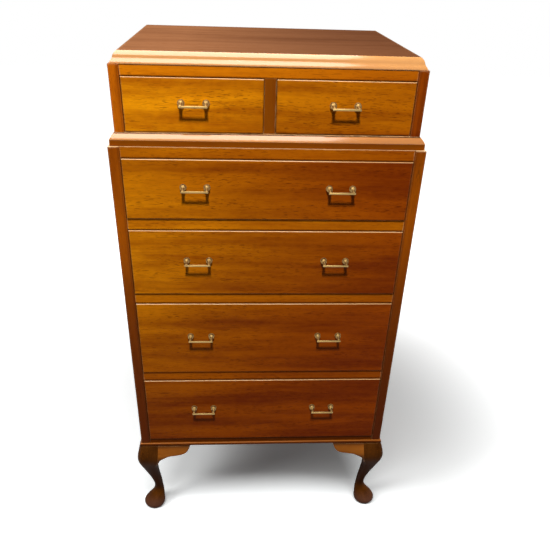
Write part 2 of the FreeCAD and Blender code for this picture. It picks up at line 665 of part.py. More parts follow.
# ---- the whole chest ----------------------------------------------------------------------------
def carcass():
    """Every fixed piece by its name."""
    lower_side = side_panel(HALF, 0, BASE_TOP, LOWER_HEIGHT)
    upper_side = side_panel(UPPER_HALF, FRONT_STEP, LOWER_HEIGHT, UPPER_HEIGHT)
    lower_stile = stile(HALF, LOWER_STILE, 0, BASE_TOP, LOWER_HEIGHT)
    upper_stile = stile(UPPER_HALF, UPPER_STILE, FRONT_STEP, LOWER_HEIGHT, UPPER_HEIGHT)
    panel_end = CHEST_DEPTH - BACK_THICKNESS

    rails = []
    floors = [edge - FRONT_GAP for edge, _ in LONG_FRONTS]
    for top in floors[:-1]:
        rails.append(rail(LOWER_OPENING, LOWER_INSIDE, 0, top - RAIL_HEIGHT, top))
    rails.append(rail(LOWER_OPENING, LOWER_INSIDE, 0, LAST_OPENING, LOWER_HEIGHT))

    runners = [bottom_runner(floors[-1])]
    runners += [runner(top) for top in floors[:-1]]
    runners += [mirrored(strip) for strip in runners]

    blocks = []
    for top in floors:
        blocks += stops(0, top, -LOWER_OPENING + SIDE_GAP, LOWER_OPENING - SIDE_GAP)
    for low, high in short_spans():
        blocks += stops(FRONT_STEP, UPPER_FLOOR, low, high)

    rail_back = RAIL_RECESS + RAIL_DEPTH
    lower_top = box((-LOWER_INSIDE, LOWER_INSIDE), (rail_back, panel_end),
                    (LOWER_HEIGHT - LOWER_TOP, LOWER_HEIGHT))
    shoulder = FRONT_STEP + STILE_DEPTH
    floor = prism([(x, y, UPPER_FLOOR - UPPER_BOTTOM) for x, y in
                   [(-UPPER_OPENING, FRONT_STEP), (UPPER_OPENING, FRONT_STEP), (UPPER_OPENING, shoulder),
                    (UPPER_INSIDE, shoulder), (UPPER_INSIDE, panel_end), (-UPPER_INSIDE, panel_end),
                    (-UPPER_INSIDE, shoulder), (-UPPER_OPENING, shoulder)]], (0, 0, UPPER_BOTTOM))
    leg = front_right_leg()
    return {
        "top_board": top_board(),
        "upper_side_left": mirrored(upper_side),
        "upper_side_right": upper_side,
        "upper_stiles": group([upper_stile, mirrored(upper_stile)]),
        "upper_top_rail": rail(UPPER_OPENING, UPPER_INSIDE, FRONT_STEP, UPPER_RAIL_EDGE, UPPER_HEIGHT),
        "centre_divider": centre_divider(),
        "upper_bottom_board": floor,
        "upper_back_panel": back_panel(UPPER_HALF, LOWER_HEIGHT, UPPER_HEIGHT),
        "waist_moulding": waist_moulding(),
        "lower_side_left": mirrored(lower_side),
        "lower_side_right": lower_side,
        "lower_stiles": group([lower_stile, mirrored(lower_stile)]),
        "lower_top_board": lower_top,
        "drawer_rails": group(rails),
        "bottom_rail": rail(LOWER_OPENING, LOWER_INSIDE, 0, BASE_TOP, BASE_TOP + BOTTOM_RAIL),
        "drawer_runners": group(runners + upper_guides()),
        "drawer_stops": group(blocks),
        "lower_back_panel": back_panel(HALF, BASE_TOP, LOWER_HEIGHT),
        "base_board": base_board(),
        "leg_front_left": mirrored(leg),
        "leg_front_right": leg,
        "leg_rear_left": mirrored(to_rear(leg)),
        "leg_rear_right": to_rear(leg),
        "knee_ears": knee_ears(),
    }


def short_spans():
    """Where the two short fronts begin and end."""
    inner, outer = DIVIDER_WIDTH / 2 + SIDE_GAP, UPPER_OPENING - SIDE_GAP
    return [(-outer, -inner), (inner, outer)]


def drawer_plan():
    """The arguments of drawer() for every drawer, by the drawer's name."""
    plan = {}
    for name, (low, high) in zip(("short_left", "short_right"), short_spans()):
        plan[name] = (low, high, FRONT_STEP, SHORT_EDGE, SHORT_FRONT, [(low + high) / 2])
    reach = LOWER_OPENING - SIDE_GAP
    for number, (edge, height) in enumerate(LONG_FRONTS, start=1):
        plan[f"long_{number}"] = (-reach, reach, 0, edge, height, [-PULL_SPACING / 2, PULL_SPACING / 2])
    return plan


def export(name, shape):
    """Write one node, moved so that the origin lies under the middle of the chest."""
    placed = shape.copy()
    placed.translate(Vector(0, FRONT_Y, 0))
    if not placed.isValid():
        raise ValueError(f"{name} is not a valid solid")
    placed.exportStep(f"parts/{name}.step")


def main():
    os.makedirs("parts", exist_ok=True)
    nodes = carcass()
    for name, plan in drawer_plan().items():
        for piece, shape in drawer(*plan).items():
            nodes[f"{name}_{piece}"] = shape
    for name, shape in nodes.items():
        export(name, shape)
    print(len(nodes), "nodes written")


main()
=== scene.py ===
import math
from functools import partialmethod

import bmesh
import bpy
import numpy as np
from mathutils import Matrix, Vector


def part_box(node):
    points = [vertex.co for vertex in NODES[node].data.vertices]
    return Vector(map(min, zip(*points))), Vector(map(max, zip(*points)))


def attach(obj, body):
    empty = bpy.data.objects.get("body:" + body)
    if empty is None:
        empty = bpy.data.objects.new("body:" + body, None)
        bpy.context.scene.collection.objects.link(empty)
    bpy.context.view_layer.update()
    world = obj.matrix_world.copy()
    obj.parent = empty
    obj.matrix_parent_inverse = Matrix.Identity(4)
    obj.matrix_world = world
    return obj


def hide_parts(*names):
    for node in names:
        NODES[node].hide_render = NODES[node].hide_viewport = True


bl_info = {
    "name": "Tallboy Chest",
    "version": (1, 0, 0),
    "blender": (4, 5, 0),
    "location": "3D View > Sidebar > Tallboy",
    "description": "Polished mahogany, cabriole legs and brass pulls on a packed chest of drawers",
    "category": "Object",
}

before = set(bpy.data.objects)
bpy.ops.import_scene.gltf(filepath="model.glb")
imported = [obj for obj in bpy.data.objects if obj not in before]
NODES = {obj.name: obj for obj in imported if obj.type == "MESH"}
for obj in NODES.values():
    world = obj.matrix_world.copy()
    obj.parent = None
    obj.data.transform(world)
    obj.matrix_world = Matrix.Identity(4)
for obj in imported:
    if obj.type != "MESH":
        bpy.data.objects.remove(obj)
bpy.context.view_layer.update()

SHORT_DRAWERS = ("short_left", "short_right")
DRAWERS = SHORT_DRAWERS + ("long_1", "long_2", "long_3", "long_4")
PACKED_ROSE = 0.019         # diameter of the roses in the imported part

LOWER_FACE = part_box("lower_stiles")[0].y
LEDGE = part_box("lower_stiles")[1].z
UPPER_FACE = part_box("upper_stiles")[0].y
UPPER_HALF = -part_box("upper_stiles")[0].x
RAIL_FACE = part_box("bottom_rail")[0].y
WAIST_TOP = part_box("waist_moulding")[1].z
CHEST_HALF = -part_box("lower_side_left")[0].x
CHEST_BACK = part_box("lower_side_left")[1].y
MIDDLE = (LOWER_FACE + CHEST_BACK) / 2
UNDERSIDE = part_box("base_board")[0].z
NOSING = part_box("base_board")[1].x - CHEST_HALF


# ---- what a user may change ----
def number(name, description, default, **settings):
    return bpy.props.FloatProperty(name=name, description=description, default=default, **settings)


def length(name, description, default):
    return number(name, description, default, unit="LENGTH", precision=4)


def power(name, description, default):
    return number(name, description, default, unit="POWER")


def colour(name, description, default):
    return bpy.props.FloatVectorProperty(
        name=name, description=description, default=default, size=3, min=0.0, max=1.0,
        subtype="COLOR")


class LegSizes(bpy.types.PropertyGroup):
    knee_projection: length("Knee projection", "How far the knees stand out", 0.018)
    knee_height: length("Knee height", "Level where the knee is fullest", 0.243)
    knee_width: length("Knee width", "Width of the knee at its fullest", 0.067)
    block: length("Block", "Side of the square block under the base board", 0.060)
    ankle_height: length("Ankle height", "Level of the thinnest part", 0.074)
    ankle_diameter: length("Ankle diameter", "Thickness of the ankle", 0.0295)
    ankle_inset: length("Ankle inset", "Outer side of the ankle behind the carcass's face", 0.0233)
    pad_diameter: length("Pad diameter", "Widest part of the pad foot", 0.0735)
    pad_height: length("Pad height", "Level of the widest part of the pad", 0.016)
    pad_overhang: length("Pad overhang", "How far the pad stands out beyond the carcass", 0.0154)
    sole_diameter: length("Sole diameter", "Flat under the pad foot", 0.061)
    ear_length: length("Ear length", "From the leg to the thin end of an ear", 0.107)
    ear_drop: length("Ear drop", "Height of an ear where it meets the leg", 0.066)
    ear_waist: length("Ear waist", "Height of an ear along its run", 0.041)
    ear_back: length("Ear back", "Rear face of an ear behind the carcass's face", 0.022)


class PullSizes(bpy.types.PropertyGroup):
    centres: length("Centres", "Distance between the two posts of a pull", 0.062)
    bar_length: length("Bar length", "Length of the bar", 0.072)
    bar_diameter: length("Bar diameter", "Thickness of the bar", 0.0060)
    reach: length("Reach", "Axis of the bar in front of the drawer", 0.02805)
    drop: length("Drop", "Axis of the bar below the middle of its posts", 0.0034)
    lowering: length("Lowering", "Middle of the posts below that of the packed pulls", 0.0016)
    rose_diameter: length("Rose diameter", "Disc against the drawer", 0.0186)
    dome_diameter: length("Dome diameter", "Ball on the rose", 0.0172)
    dome_height: length("Dome height", "Crown of the ball above the drawer", 0.0120)
    screw_head: length("Screw head", "Head of a screw inside a drawer front", 0.0085)


FIGURED = {                 # what it is used for, its pale and its dark figure
    "front": ("drawer fronts", (0.92, 0.345, 0.003), (0.38, 0.092, 0.001)),
    # Painted highlight: this cream figure on the upper arrises of the fronts and on the ledges
    # stands in for the light they catch.
    "arris": ("arrises of the fronts", (0.90, 0.60, 0.30), (0.66, 0.36, 0.13)),
    "rail": ("rails", (0.78, 0.240, 0.003), (0.46, 0.115, 0.001)),
    # Painted shade: near-black for the rail over the base and the base board, which lie in shade
    # under the drawers.
    "low": ("rail over the base", (0.115, 0.024, 0.001), (0.08, 0.015, 0.001)),
    "upright": ("stiles", (0.54, 0.128, 0.002), (0.35, 0.074, 0.001)),
    "side": ("sides", (0.42, 0.120, 0.006), (0.22, 0.050, 0.002)),
    "top": ("faded top", (0.29, 0.122, 0.054), (0.17, 0.064, 0.028)),
    "edge": ("moulded edge of the top", (0.62, 0.270, 0.060), (0.46, 0.165, 0.025)),
    "moulding": ("mouldings", (0.225, 0.056, 0.001), (0.150, 0.030, 0.001)),
    # Painted highlight: the upward slope of a moulding is paler than its face, standing in for the
    # light on it.
    "slope": ("slope of a moulding", (0.52, 0.185, 0.012), (0.36, 0.110, 0.006)),
    "leg": ("legs", (0.105, 0.032, 0.004), (0.042, 0.011, 0.001)),
    "ear": ("ears", (0.40, 0.125, 0.012), (0.22, 0.058, 0.005)),
    "timber": ("drawer linings", (0.68, 0.40, 0.17), (0.52, 0.27, 0.10)),
    "ply": ("stained back", (0.40, 0.19, 0.06), (0.25, 0.105, 0.03)),
}


class FinishColours(bpy.types.PropertyGroup):
    # Darker colour on the shins.
    leg_deep: colour("Leg, deep", "Stain gathered on the shins", (0.022, 0.005, 0.001))
    # Painted sheen: this greyish pink on the pad feet stands in for the light they reflect.
    pad_sheen_tone: colour("Pad, rubbed", "Dull rubbed wood on the pad feet", (0.125, 0.052, 0.034))
    # Painted shade: these three tones darken each finish where the chest is away from the top and
    # left, standing in for the lamps' falloff.
    painted_shade: colour("Unfaded", "Multiplies the polish away from the light", (0.34, 0.150, 0.16))
    painted_shade_upright: colour("Unfaded stile", "The same for the stiles", (0.15, 0.072, 0.08))
    painted_shade_top: colour("Unfaded top", "The same for the top", (0.30, 0.24, 0.25))
    pore: colour("Pores", "Short dark flecks of the open grain", (0.20, 0.050, 0.002))
    worn: colour("Worn", "Wood where the polish is rubbed from the edges", (0.78, 0.46, 0.22))
    # Painted shade and soiling: darkens the lower and inner arrises, and colours the painted shadow
    # bands.
    grime_and_shade: colour("Grime", "Old wax and dirt in the sheltered corners", (0.055, 0.014, 0.002))
    # Painted shade: the dark colour of the faces inside the gaps stands in for the shade there.
    gap_shade: colour("Inner edge", "Unpolished wood inside the gaps", (0.15, 0.048, 0.010))
    brass: colour("Brass", "Polished cast brass", (0.31, 0.208, 0.078))
    tarnish: colour("Tarnish", "Brass in the hollows", (0.15, 0.080, 0.022))


for key, (what, *tones) in FIGURED.items():
    for shade, default in zip(("pale", "dark"), tones):
        FinishColours.__annotations__[f"{key}_{shade}"] = colour(
            f"{what.capitalize()}, {shade}", f"The {shade} figure of the {what}", default)


class StageSettings(bpy.types.PropertyGroup):
    camera_place: bpy.props.FloatVectorProperty(
        name="Camera", description="Place of the camera", default=(-0.08183, -1.80927, 1.73473),
        subtype="TRANSLATION", unit="LENGTH")
    yaw: number("Yaw", "Turn of the camera about the vertical", -0.0698146, subtype="ANGLE")
    pitch: number("Pitch", "How far the camera looks down", 0.5507436, subtype="ANGLE")
    roll: number("Roll", "Turn of the camera about its line of sight", 0.0339002, subtype="ANGLE")
    lens: number("Lens", "Focal length over a 36 mm sensor", 39.02, unit="CAMERA")
    key_power: power("Key power", "Small lamp high in front", 150.0)
    fill_power: power("Fill power", "Large front lamp", 2.0)
    panel_power: power("Panel power", "Ceiling panel that the polish reflects", 72.0)
    side_power: power("Side power", "Each lamp that lights a side", 24.0)
    back_power: power("Back power", "Lamp that lights the back", 30.0)
    floor_left_power: power("Floor power, left", "Left lamp of the floor", 58.0)
    floor_front_power: power("Floor power, front", "Front lamp of the floor", 98.6)
    ambient: number("Ambient", "Strength of the even light of the room", 0.12, min=0.0)


# ---- node helpers ----
def node(tree, kind, inputs=None, **settings):
    """A node with its settings, and its inputs set to values or linked from sockets."""
    made = tree.nodes.new(kind)
    for key, value in settings.items():
        setattr(made, key, value)
    for key, value in (inputs or {}).items():
        value = value.socket if isinstance(value, Field) else value
        if isinstance(value, bpy.types.NodeSocket):
            tree.links.new(value, made.inputs[key])
        else:
            made.inputs[key].default_value = value
    return made


class Field:
    """A number, vector or colour that changes over the surface, with the sums done on it."""

    def __init__(self, tree, socket):
        self.tree, self.socket = tree, socket

    def made(self, kind, inputs, output=0, **settings):
        return Field(self.tree, node(self.tree, kind, inputs, **settings).outputs[output])

    def calc(self, operation, other=0.0, clamp=False):
        inputs = {0: self, 1: other}
        return self.made("ShaderNodeMath", inputs, operation=operation, use_clamp=clamp)

    __add__ = partialmethod(calc, "ADD")
    __sub__ = partialmethod(calc, "SUBTRACT")
    __mul__ = partialmethod(calc, "MULTIPLY")
    __truediv__ = partialmethod(calc, "DIVIDE")
    __abs__ = partialmethod(calc, "ABSOLUTE")
    clamped = partialmethod(calc, "ADD", 0.0, True)

    def __rsub__(self, other):
        return self.made("ShaderNodeMath", {0: other, 1: self}, operation="SUBTRACT")

    def between(self, low, high):
        """Rises smoothly from 0 at low to 1 at high."""
        inputs = {"Value": self, "From Min": low, "From Max": high}
        return self.made("ShaderNodeMapRange", inputs, interpolation_type="SMOOTHSTEP")

    def mix(self, first, second):
        """Colour that turns from the first to the second as this number rises to 1."""
        return self.made("ShaderNodeMix", {0: self, 6: first, 7: second}, 2, data_type="RGBA")

    def vector(self, operation, other=(0.0, 0.0, 0.0), output=0):
        return self.made("ShaderNodeVectorMath", {0: self, 1: other}, output, operation=operation)

    def parts(self):
        """X, Y and Z of a vector."""
        apart = node(self.tree, "ShaderNodeSeparateXYZ", {0: self})
        return [Field(self.tree, socket) for socket in apart.outputs]

    def noise(self, scale, detail=2.0, roughness=0.5):
        return self.made("ShaderNodeTexNoise", {
            "Vector": self, "Scale": scale, "Detail": detail, "Roughness": roughness})

    def streaks(self, stretch, detail=2.0, roughness=0.5):
        """Noise whose size along each axis is one over the stretch."""
        return self.vector("MULTIPLY", stretch).noise(1.0, detail, roughness)


def joined(tree, x, y, z):
    return Field(tree, node(tree, "ShaderNodeCombineXYZ", {0: x, 1: y, 2: z}).outputs[0])


def face_normal(tree):
    return Field(tree, tree.nodes.new("ShaderNodeNewGeometry").outputs["Normal"])


# ---- shader groups ----
WHITE = (1.0, 1.0, 1.0, 1.0)
SOCKETS = {"VALUE": "NodeSocketFloat", "VECTOR": "NodeSocketVector", "RGBA": "NodeSocketColor"}
POLISH_SPREAD = 0.24        # how far the smears change the roughness
SEAM = 0.0006               # half width of a mitre's dark line
TOP_BORDER = 0.0245         # width of the top's moulding inside the upper carcass's outside
WAIST_BORDER = 0.06         # the waist moulding lies within this distance of the outside
# Painted light and shade by level: the share of each finish's full colour kept there, the rest
# turned to its painted shade tone.
PAINTED_FALLOFF_TOP = 1.6
PAINTED_FALLOFF = ((0.30, 0.10), (0.56, 0.19), (0.80, 0.36), (1.03, 0.80), (1.24, 0.47), (1.272, 0.47),
          (1.284, 0.40), (1.315, 0.40), (1.345, 0.96), (1.36, 1.0))      # level, share of painted light


def new_group(name, **inputs):
    """A shader node group, the Vector that each has, and its other inputs: a tuple is a colour."""
    tree = bpy.data.node_groups.new(name, "ShaderNodeTree")
    tree.interface.new_socket("Vector", in_out="INPUT", socket_type="NodeSocketVector")
    for label, value in inputs.items():
        kind = "Color" if isinstance(value, tuple) else "Float"
        socket = tree.interface.new_socket(label, in_out="INPUT", socket_type=f"NodeSocket{kind}")
        socket.default_value = value
    given = [Field(tree, socket) for socket in tree.nodes.new("NodeGroupInput").outputs[:-1]]
    return tree, given[0], dict(zip(inputs, given[1:]))


def closed_group(tree, results):
    """The group with its named outputs."""
    for label, field in results.items():
        tree.interface.new_socket(label, in_out="OUTPUT", socket_type=SOCKETS[field.socket.type])
    node(tree, "NodeGroupOutput", results)
    return tree


def grain_group():
    """Wood grain that runs along the X axis of the vector: slow figure, fibres and short pores."""
    tree, place, given = new_group("wood_grain", Pale=WHITE, Dark=WHITE, Pore=WHITE, Figure=0.5,
                                   Band=20.0, Flecks=0.5, Shift=0.0)
    shift = given["Shift"]
    place = place.vector("ADD", joined(tree, shift, shift, shift))
    drift = (place.streaks((2.2, 5.0, 5.0)) - 0.5) * 0.035
    bent = place.vector("ADD", joined(tree, 0.0, drift, drift))

    bands = bent.vector("MULTIPLY", (0.09, 1.0, 1.0))
    scale = {0: bands, "Scale": given["Band"]}
    bands = bands.made("ShaderNodeVectorMath", scale, operation="SCALE")
    figure = bands.noise(1.0, 3.0, 0.55).between(0.34, 0.66)
    cloud = bent.streaks((1.6, 4.5, 4.5), 1.0)
    fibre = bent.streaks((9.0, 260.0, 260.0), 2.0, 0.6)
    streak = bent.streaks((2.5, 85.0, 85.0), 2.0, 0.6)
    mottle = bent.streaks((34.0, 78.0, 78.0), 2.0, 0.6)
    share = figure * given["Figure"] + mottle * 0.45 + streak * 0.45 + fibre * 0.30 + cloud * 0.45
    share = (share - 0.62).clamped()

    pores = bent.streaks((52.0, 520.0, 520.0), 1.0).between(0.585, 0.66)
    dense = bent.streaks((3.0, 30.0, 30.0), 1.0).between(0.35, 0.62)
    pores = (pores * (dense + 0.35) * given["Flecks"]).clamped()
    wood_tone = share.mix(given["Pale"], given["Dark"])
    return closed_group(tree, {"Color": pores.mix(wood_tone, given["Pore"]), "Share": share,
                               "Pores": pores, "Height": fibre * 0.25 - pores})


def wear_group():
    """Rubbed polish on upper and outer arrises; painted shade and soiling on lower and inner ones.
    """
    tree, place, given = new_group("edge_wear", Color=WHITE, Worn=WHITE, Grime=WHITE, Width=0.003,
                                   Amount=0.5, Dirt=0.7)
    flat = face_normal(tree)
    rounded = flat.made("ShaderNodeBevel", {"Radius": given["Width"]}, samples=4)
    edge = (1.0 - rounded.vector("DOT_PRODUCT", flat, "Value")).between(0.012, 0.11)
    aside = place.parts()[0].calc("SIGN")
    turned_x, _, turned_z = rounded.vector("SUBTRACT", flat).parts()
    outward = turned_x * aside
    rubbed = turned_z.calc("MAXIMUM", outward).between(0.0, 0.12)
    patchy = place.noise(38.0, 3.0, 0.6).between(0.36, 0.60)
    worn = (edge * (patchy + 0.35) * rubbed * given["Amount"]).clamped()
    sheltered = turned_z.calc("MINIMUM", outward) * -1.0
    dirt_and_shade = sheltered.between(0.03, 0.25) * given["Dirt"]
    dirt_and_shade_colour = dirt_and_shade.mix(given["Color"], given["Grime"])
    return closed_group(tree, {"Color": worn.mix(dirt_and_shade_colour, given["Worn"])})


def painted_falloff_group():
    """Painted light and shade: colour lighter towards the top and the left of the chest, darker
    away from them.
    """
    tree, place, given = new_group("light_fading", Color=WHITE, Deep=WHITE, Across=1.0, Raised=0.0)
    cloud = place.noise(2.6) - 0.5
    x, _, z = place.parts()
    level = cloud * 0.12 + z - given["Raised"]
    ramp = node(tree, "ShaderNodeValToRGB", {"Fac": level / PAINTED_FALLOFF_TOP})
    while len(ramp.color_ramp.elements) < len(PAINTED_FALLOFF):
        ramp.color_ramp.elements.new(0.5)
    for stop, (height, share) in zip(ramp.color_ramp.elements, PAINTED_FALLOFF):
        stop.position = height / PAINTED_FALLOFF_TOP
        stop.color = (share, share, share, 1.0)
    # Painted light falls off to the right, and the upper row is a little brighter.
    left = (cloud * 0.10 + 0.5 - x).calc("MAXIMUM", 0.0)
    reach = (left / 0.85).calc("POWER", 2.0) + z.between(1.33, 1.36) * 0.24 + 0.04
    reach = reach * given["Across"] + (1.0 - given["Across"])
    painted_light = (Field(tree, ramp.outputs["Color"]) * reach).clamped()
    inputs = {0: 1.0, 6: given["Color"], 7: painted_light.mix(given["Deep"], WHITE)}
    faded = painted_light.made("ShaderNodeMix", inputs, 2, data_type="RGBA", blend_type="MULTIPLY")
    return closed_group(tree, {"Color": faded})


def polish_group():
    """Roughness of an old polish: smears along the grain, dull where the pores are open."""
    tree, place, given = new_group("old_polish", Pores=0.0, Base=0.3)
    smear = place.streaks((7.0, 16.0, 16.0), 4.0, 0.6) - 0.5
    dull = given["Pores"] * 0.25 + (smear * POLISH_SPREAD + given["Base"])
    return closed_group(tree, {"Roughness": dull.clamped()})


def crest_group():
    """Masks of what looks upwards, which gets the bright coat and on some finishes a painted
    highlight, of what isn't flat, and of the faces inside the gaps, which look inwards, or on a
    drawer front to any side, where painted shade goes."""
    tree, place, given = new_group("waxed_crests", Low=0.2, High=0.5, All_round=0.0)
    facing, _, upwards = face_normal(tree).parts()
    crest = upwards.between(given["Low"], given["High"])
    uneven = 1.0 - upwards.between(0.985, 0.995)
    aside = place.parts()[0].calc("SIGN")
    inwards = (facing * aside * -1.0).between(0.80, 0.97)
    any_side = abs(facing).between(0.80, 0.97).calc("MAXIMUM", 1.0 - uneven)
    return closed_group(tree, {"Crest": crest, "Sloping crest": crest * uneven, "Not flat": uneven,
                               "Hidden": inwards.calc("MAXIMUM", any_side * given["All_round"])})


def mitre_group():
    """Turns the grain on the side lengths of a mitred moulding, and marks the seam at the corner.

    Only what lies within the given width of the outside is moulding."""
    tree, place, given = new_group("mitred_lengths", Half=0.4, Front=-0.3, Width=0.03)
    x, y, z = place.parts()
    beside = given["Half"] - abs(x)
    behind = y - given["Front"]
    past = behind - beside
    outer = beside.calc("MINIMUM", behind).calc("LESS_THAN", given["Width"])
    at_side = past.calc("GREATER_THAN", 0.0) * outer
    inputs = {0: at_side, 4: place, 5: joined(tree, y, x, z)}
    turned = at_side.made("ShaderNodeMix", inputs, 1, data_type="VECTOR")
    return closed_group(tree, {"Vector": turned, "Seam": abs(past).between(SEAM, 0.0) * outer})


GROUP_MAKERS = {
    "wood_grain": grain_group, "edge_wear": wear_group, "light_fading": painted_falloff_group,
    "old_polish": polish_group, "waxed_crests": crest_group, "mitred_lengths": mitre_group}


def grouped(name, place, **inputs):
    """Place a shared group, made when it is first asked for, and give its outputs by name."""
    group = bpy.data.node_groups.get(name) or GROUP_MAKERS[name]()
    placed = node(place.tree, "ShaderNodeGroup", {"Vector": place, **inputs}, node_tree=group)
    return {socket.name: Field(place.tree, socket) for socket in placed.outputs}


# ---- finishes ----
ALONG = {"X": (0.0, 0.0, 0.0), "Y": (0.0, 0.0, -math.pi / 2), "Z": (0.0, math.pi / 2, 0.0)}
RELIEF = 0.12               # strength of the grain's relief
GRAIN_DEPTH = 0.0004
# Levels of a painted highlight along the top edge of the lower stiles and rails.
LEDGE_HIGHLIGHT = (LEDGE - 0.002, LEDGE - 0.001)
# The shins are darker between the first two and the last two of these levels.
SHIN_LEVELS = (0.045, 0.085, 0.19, 0.27)
SHIN_DARKENING = 0.85                # share of the darker colour on a shin
# Painted sheen on the pad feet, full below the first level and gone above the second.
PAD_SHEEN_LEVELS = (0.012, 0.05)
PAD_SHEEN = 0.75                # share of painted sheen on a pad

RAIL = dict(dark_of="rail", band=26.0, wear_width=0.005, dirt_and_shade=0.95, shift=3.1, painted_shade="painted_shade",
            crest=(0.3, 0.6))
STILE = dict(tones="upright", along="Z", band=30.0, wear=0.35, wear_width=0.006, dirt_and_shade=0.9,
             crest=(0.3, 0.6))
LINING = dict(tones="timber", figure=0.4, band=24.0, flecks=0.12, wear=0.2, wear_width=0.002,
              roughness=0.55, specular=0.12)
FINISHES = {
    "front_mahogany": dict(
        tones="front", figure=0.62, band=17.0, flecks=0.50, wear=0.45, wear_width=0.0035,
        painted_shade="painted_shade", across=1.0, crest=(0.4, 0.7), edge="arris", edge_from="Sloping crest",
        all_round=1.0),
    "rail_mahogany": dict(RAIL, tones="rail", across=0.8),
    "drawer_rail_mahogany": dict(RAIL, tones="front", across=0.6, ledge=LEDGE_HIGHLIGHT),
    # Painted shade on the recessed rail over the base.
    "low_rail_mahogany": dict(tones="low", band=26.0, wear=0.25, shift=5.9),
    "upright_mahogany": dict(
        STILE, shift=5.3, painted_shade="painted_shade_upright", across=0.15, raised=0.09, ledge=LEDGE_HIGHLIGHT),
    "upper_upright_mahogany": dict(STILE, figure=1.0, shift=6.4, painted_shade="painted_shade", across=1.0),
    "divider_mahogany": dict(tones="moulding", along="Z", band=30.0, wear=0.35, shift=1.9),
    "side_mahogany": dict(
        tones="side", along="Z", figure=0.7, band=12.0, wear=0.35, shift=7.7, specular=0.04),
    "top_mahogany": dict(
        tones="top", band=13.0, flecks=0.25, wear=0.35, roughness=0.5, specular=0.0, shift=11.2,
        painted_shade="painted_shade_top", across=1.0, crest=(0.0, 0.3), crest_ior=1.7, edge="edge",
        edge_from="Not flat", mitre=(UPPER_HALF, UPPER_FACE, TOP_BORDER)),
    # Painted highlight in the slope tones on the upward faces, and a painted shadow band under the
    # short drawers.
    "moulding_mahogany": dict(
        tones="moulding", figure=0.4, band=26.0, wear=0.5, shift=2.2, crest=(0.15, 0.45),
        crest_ior=1.7, edge="slope", shadow_band=(WAIST_TOP - 0.0034, WAIST_TOP - 0.0020),
        mitre=(CHEST_HALF, RAIL_FACE, WAIST_BORDER)),
    # Painted shade in the low tones, and a painted highlight in the ear's tones on the upward crest
    # of the nosing.
    "nosing_mahogany": dict(
        tones="low", figure=0.4, band=26.0, wear=0.5, shift=4.2, crest=(0.5, 0.85),
        crest_rough=0.5, crest_ior=1.25, edge="ear", edge_from="Sloping crest"),
    "leg_mahogany": dict(
        tones="leg", along="Z", band=24.0, wear=0.2, wear_width=0.004, roughness=0.42,
        specular=0.02, shift=9.4, dark_shins_pad_sheen=True),
    # Painted shadow in a band at the top of the ears, under the nosing.
    "ear_mahogany": dict(
        tones="ear", band=24.0, wear=0.25, wear_width=0.004, specular=0.06, shift=5.1,
        stain=(UNDERSIDE - 0.058, UNDERSIDE - 0.032),
        shadow_band=(UNDERSIDE - 0.014, UNDERSIDE + 0.004)),
    "drawer_timber": dict(LINING, along="Y", shift=1.7),
    "drawer_timber_back": dict(LINING, shift=4.9),
    "drawer_ply": dict(LINING, figure=0.7, band=9.0, roughness=0.6, shift=6.1),
    "carcass_timber": dict(LINING, figure=0.5, band=16.0, roughness=0.6, shift=3.7),
    "back_ply": dict(LINING, tones="ply", along="Z", figure=0.6, band=7.0, flecks=0.2,
                     roughness=0.6, specular=0.1, shift=8.8),
}
MATERIALS = {}


def tone(key):
    """One of the finish colours, opaque."""
    return (*getattr(bpy.context.scene.finish_colours, key), 1.0)


def surfaced(tree, shader, kind="Material"):
    node(tree, f"ShaderNodeOutput{kind}", {"Surface": shader.outputs[0]})


def blank_material(name):
    """A material with nothing in it yet, and its tree and Object coordinates."""
    material = bpy.data.materials.new(name)
    material.use_nodes = True
    tree = material.node_tree
    tree.nodes.clear()
    return material, tree, Field(tree, tree.nodes.new("ShaderNodeTexCoord").outputs["Object"])


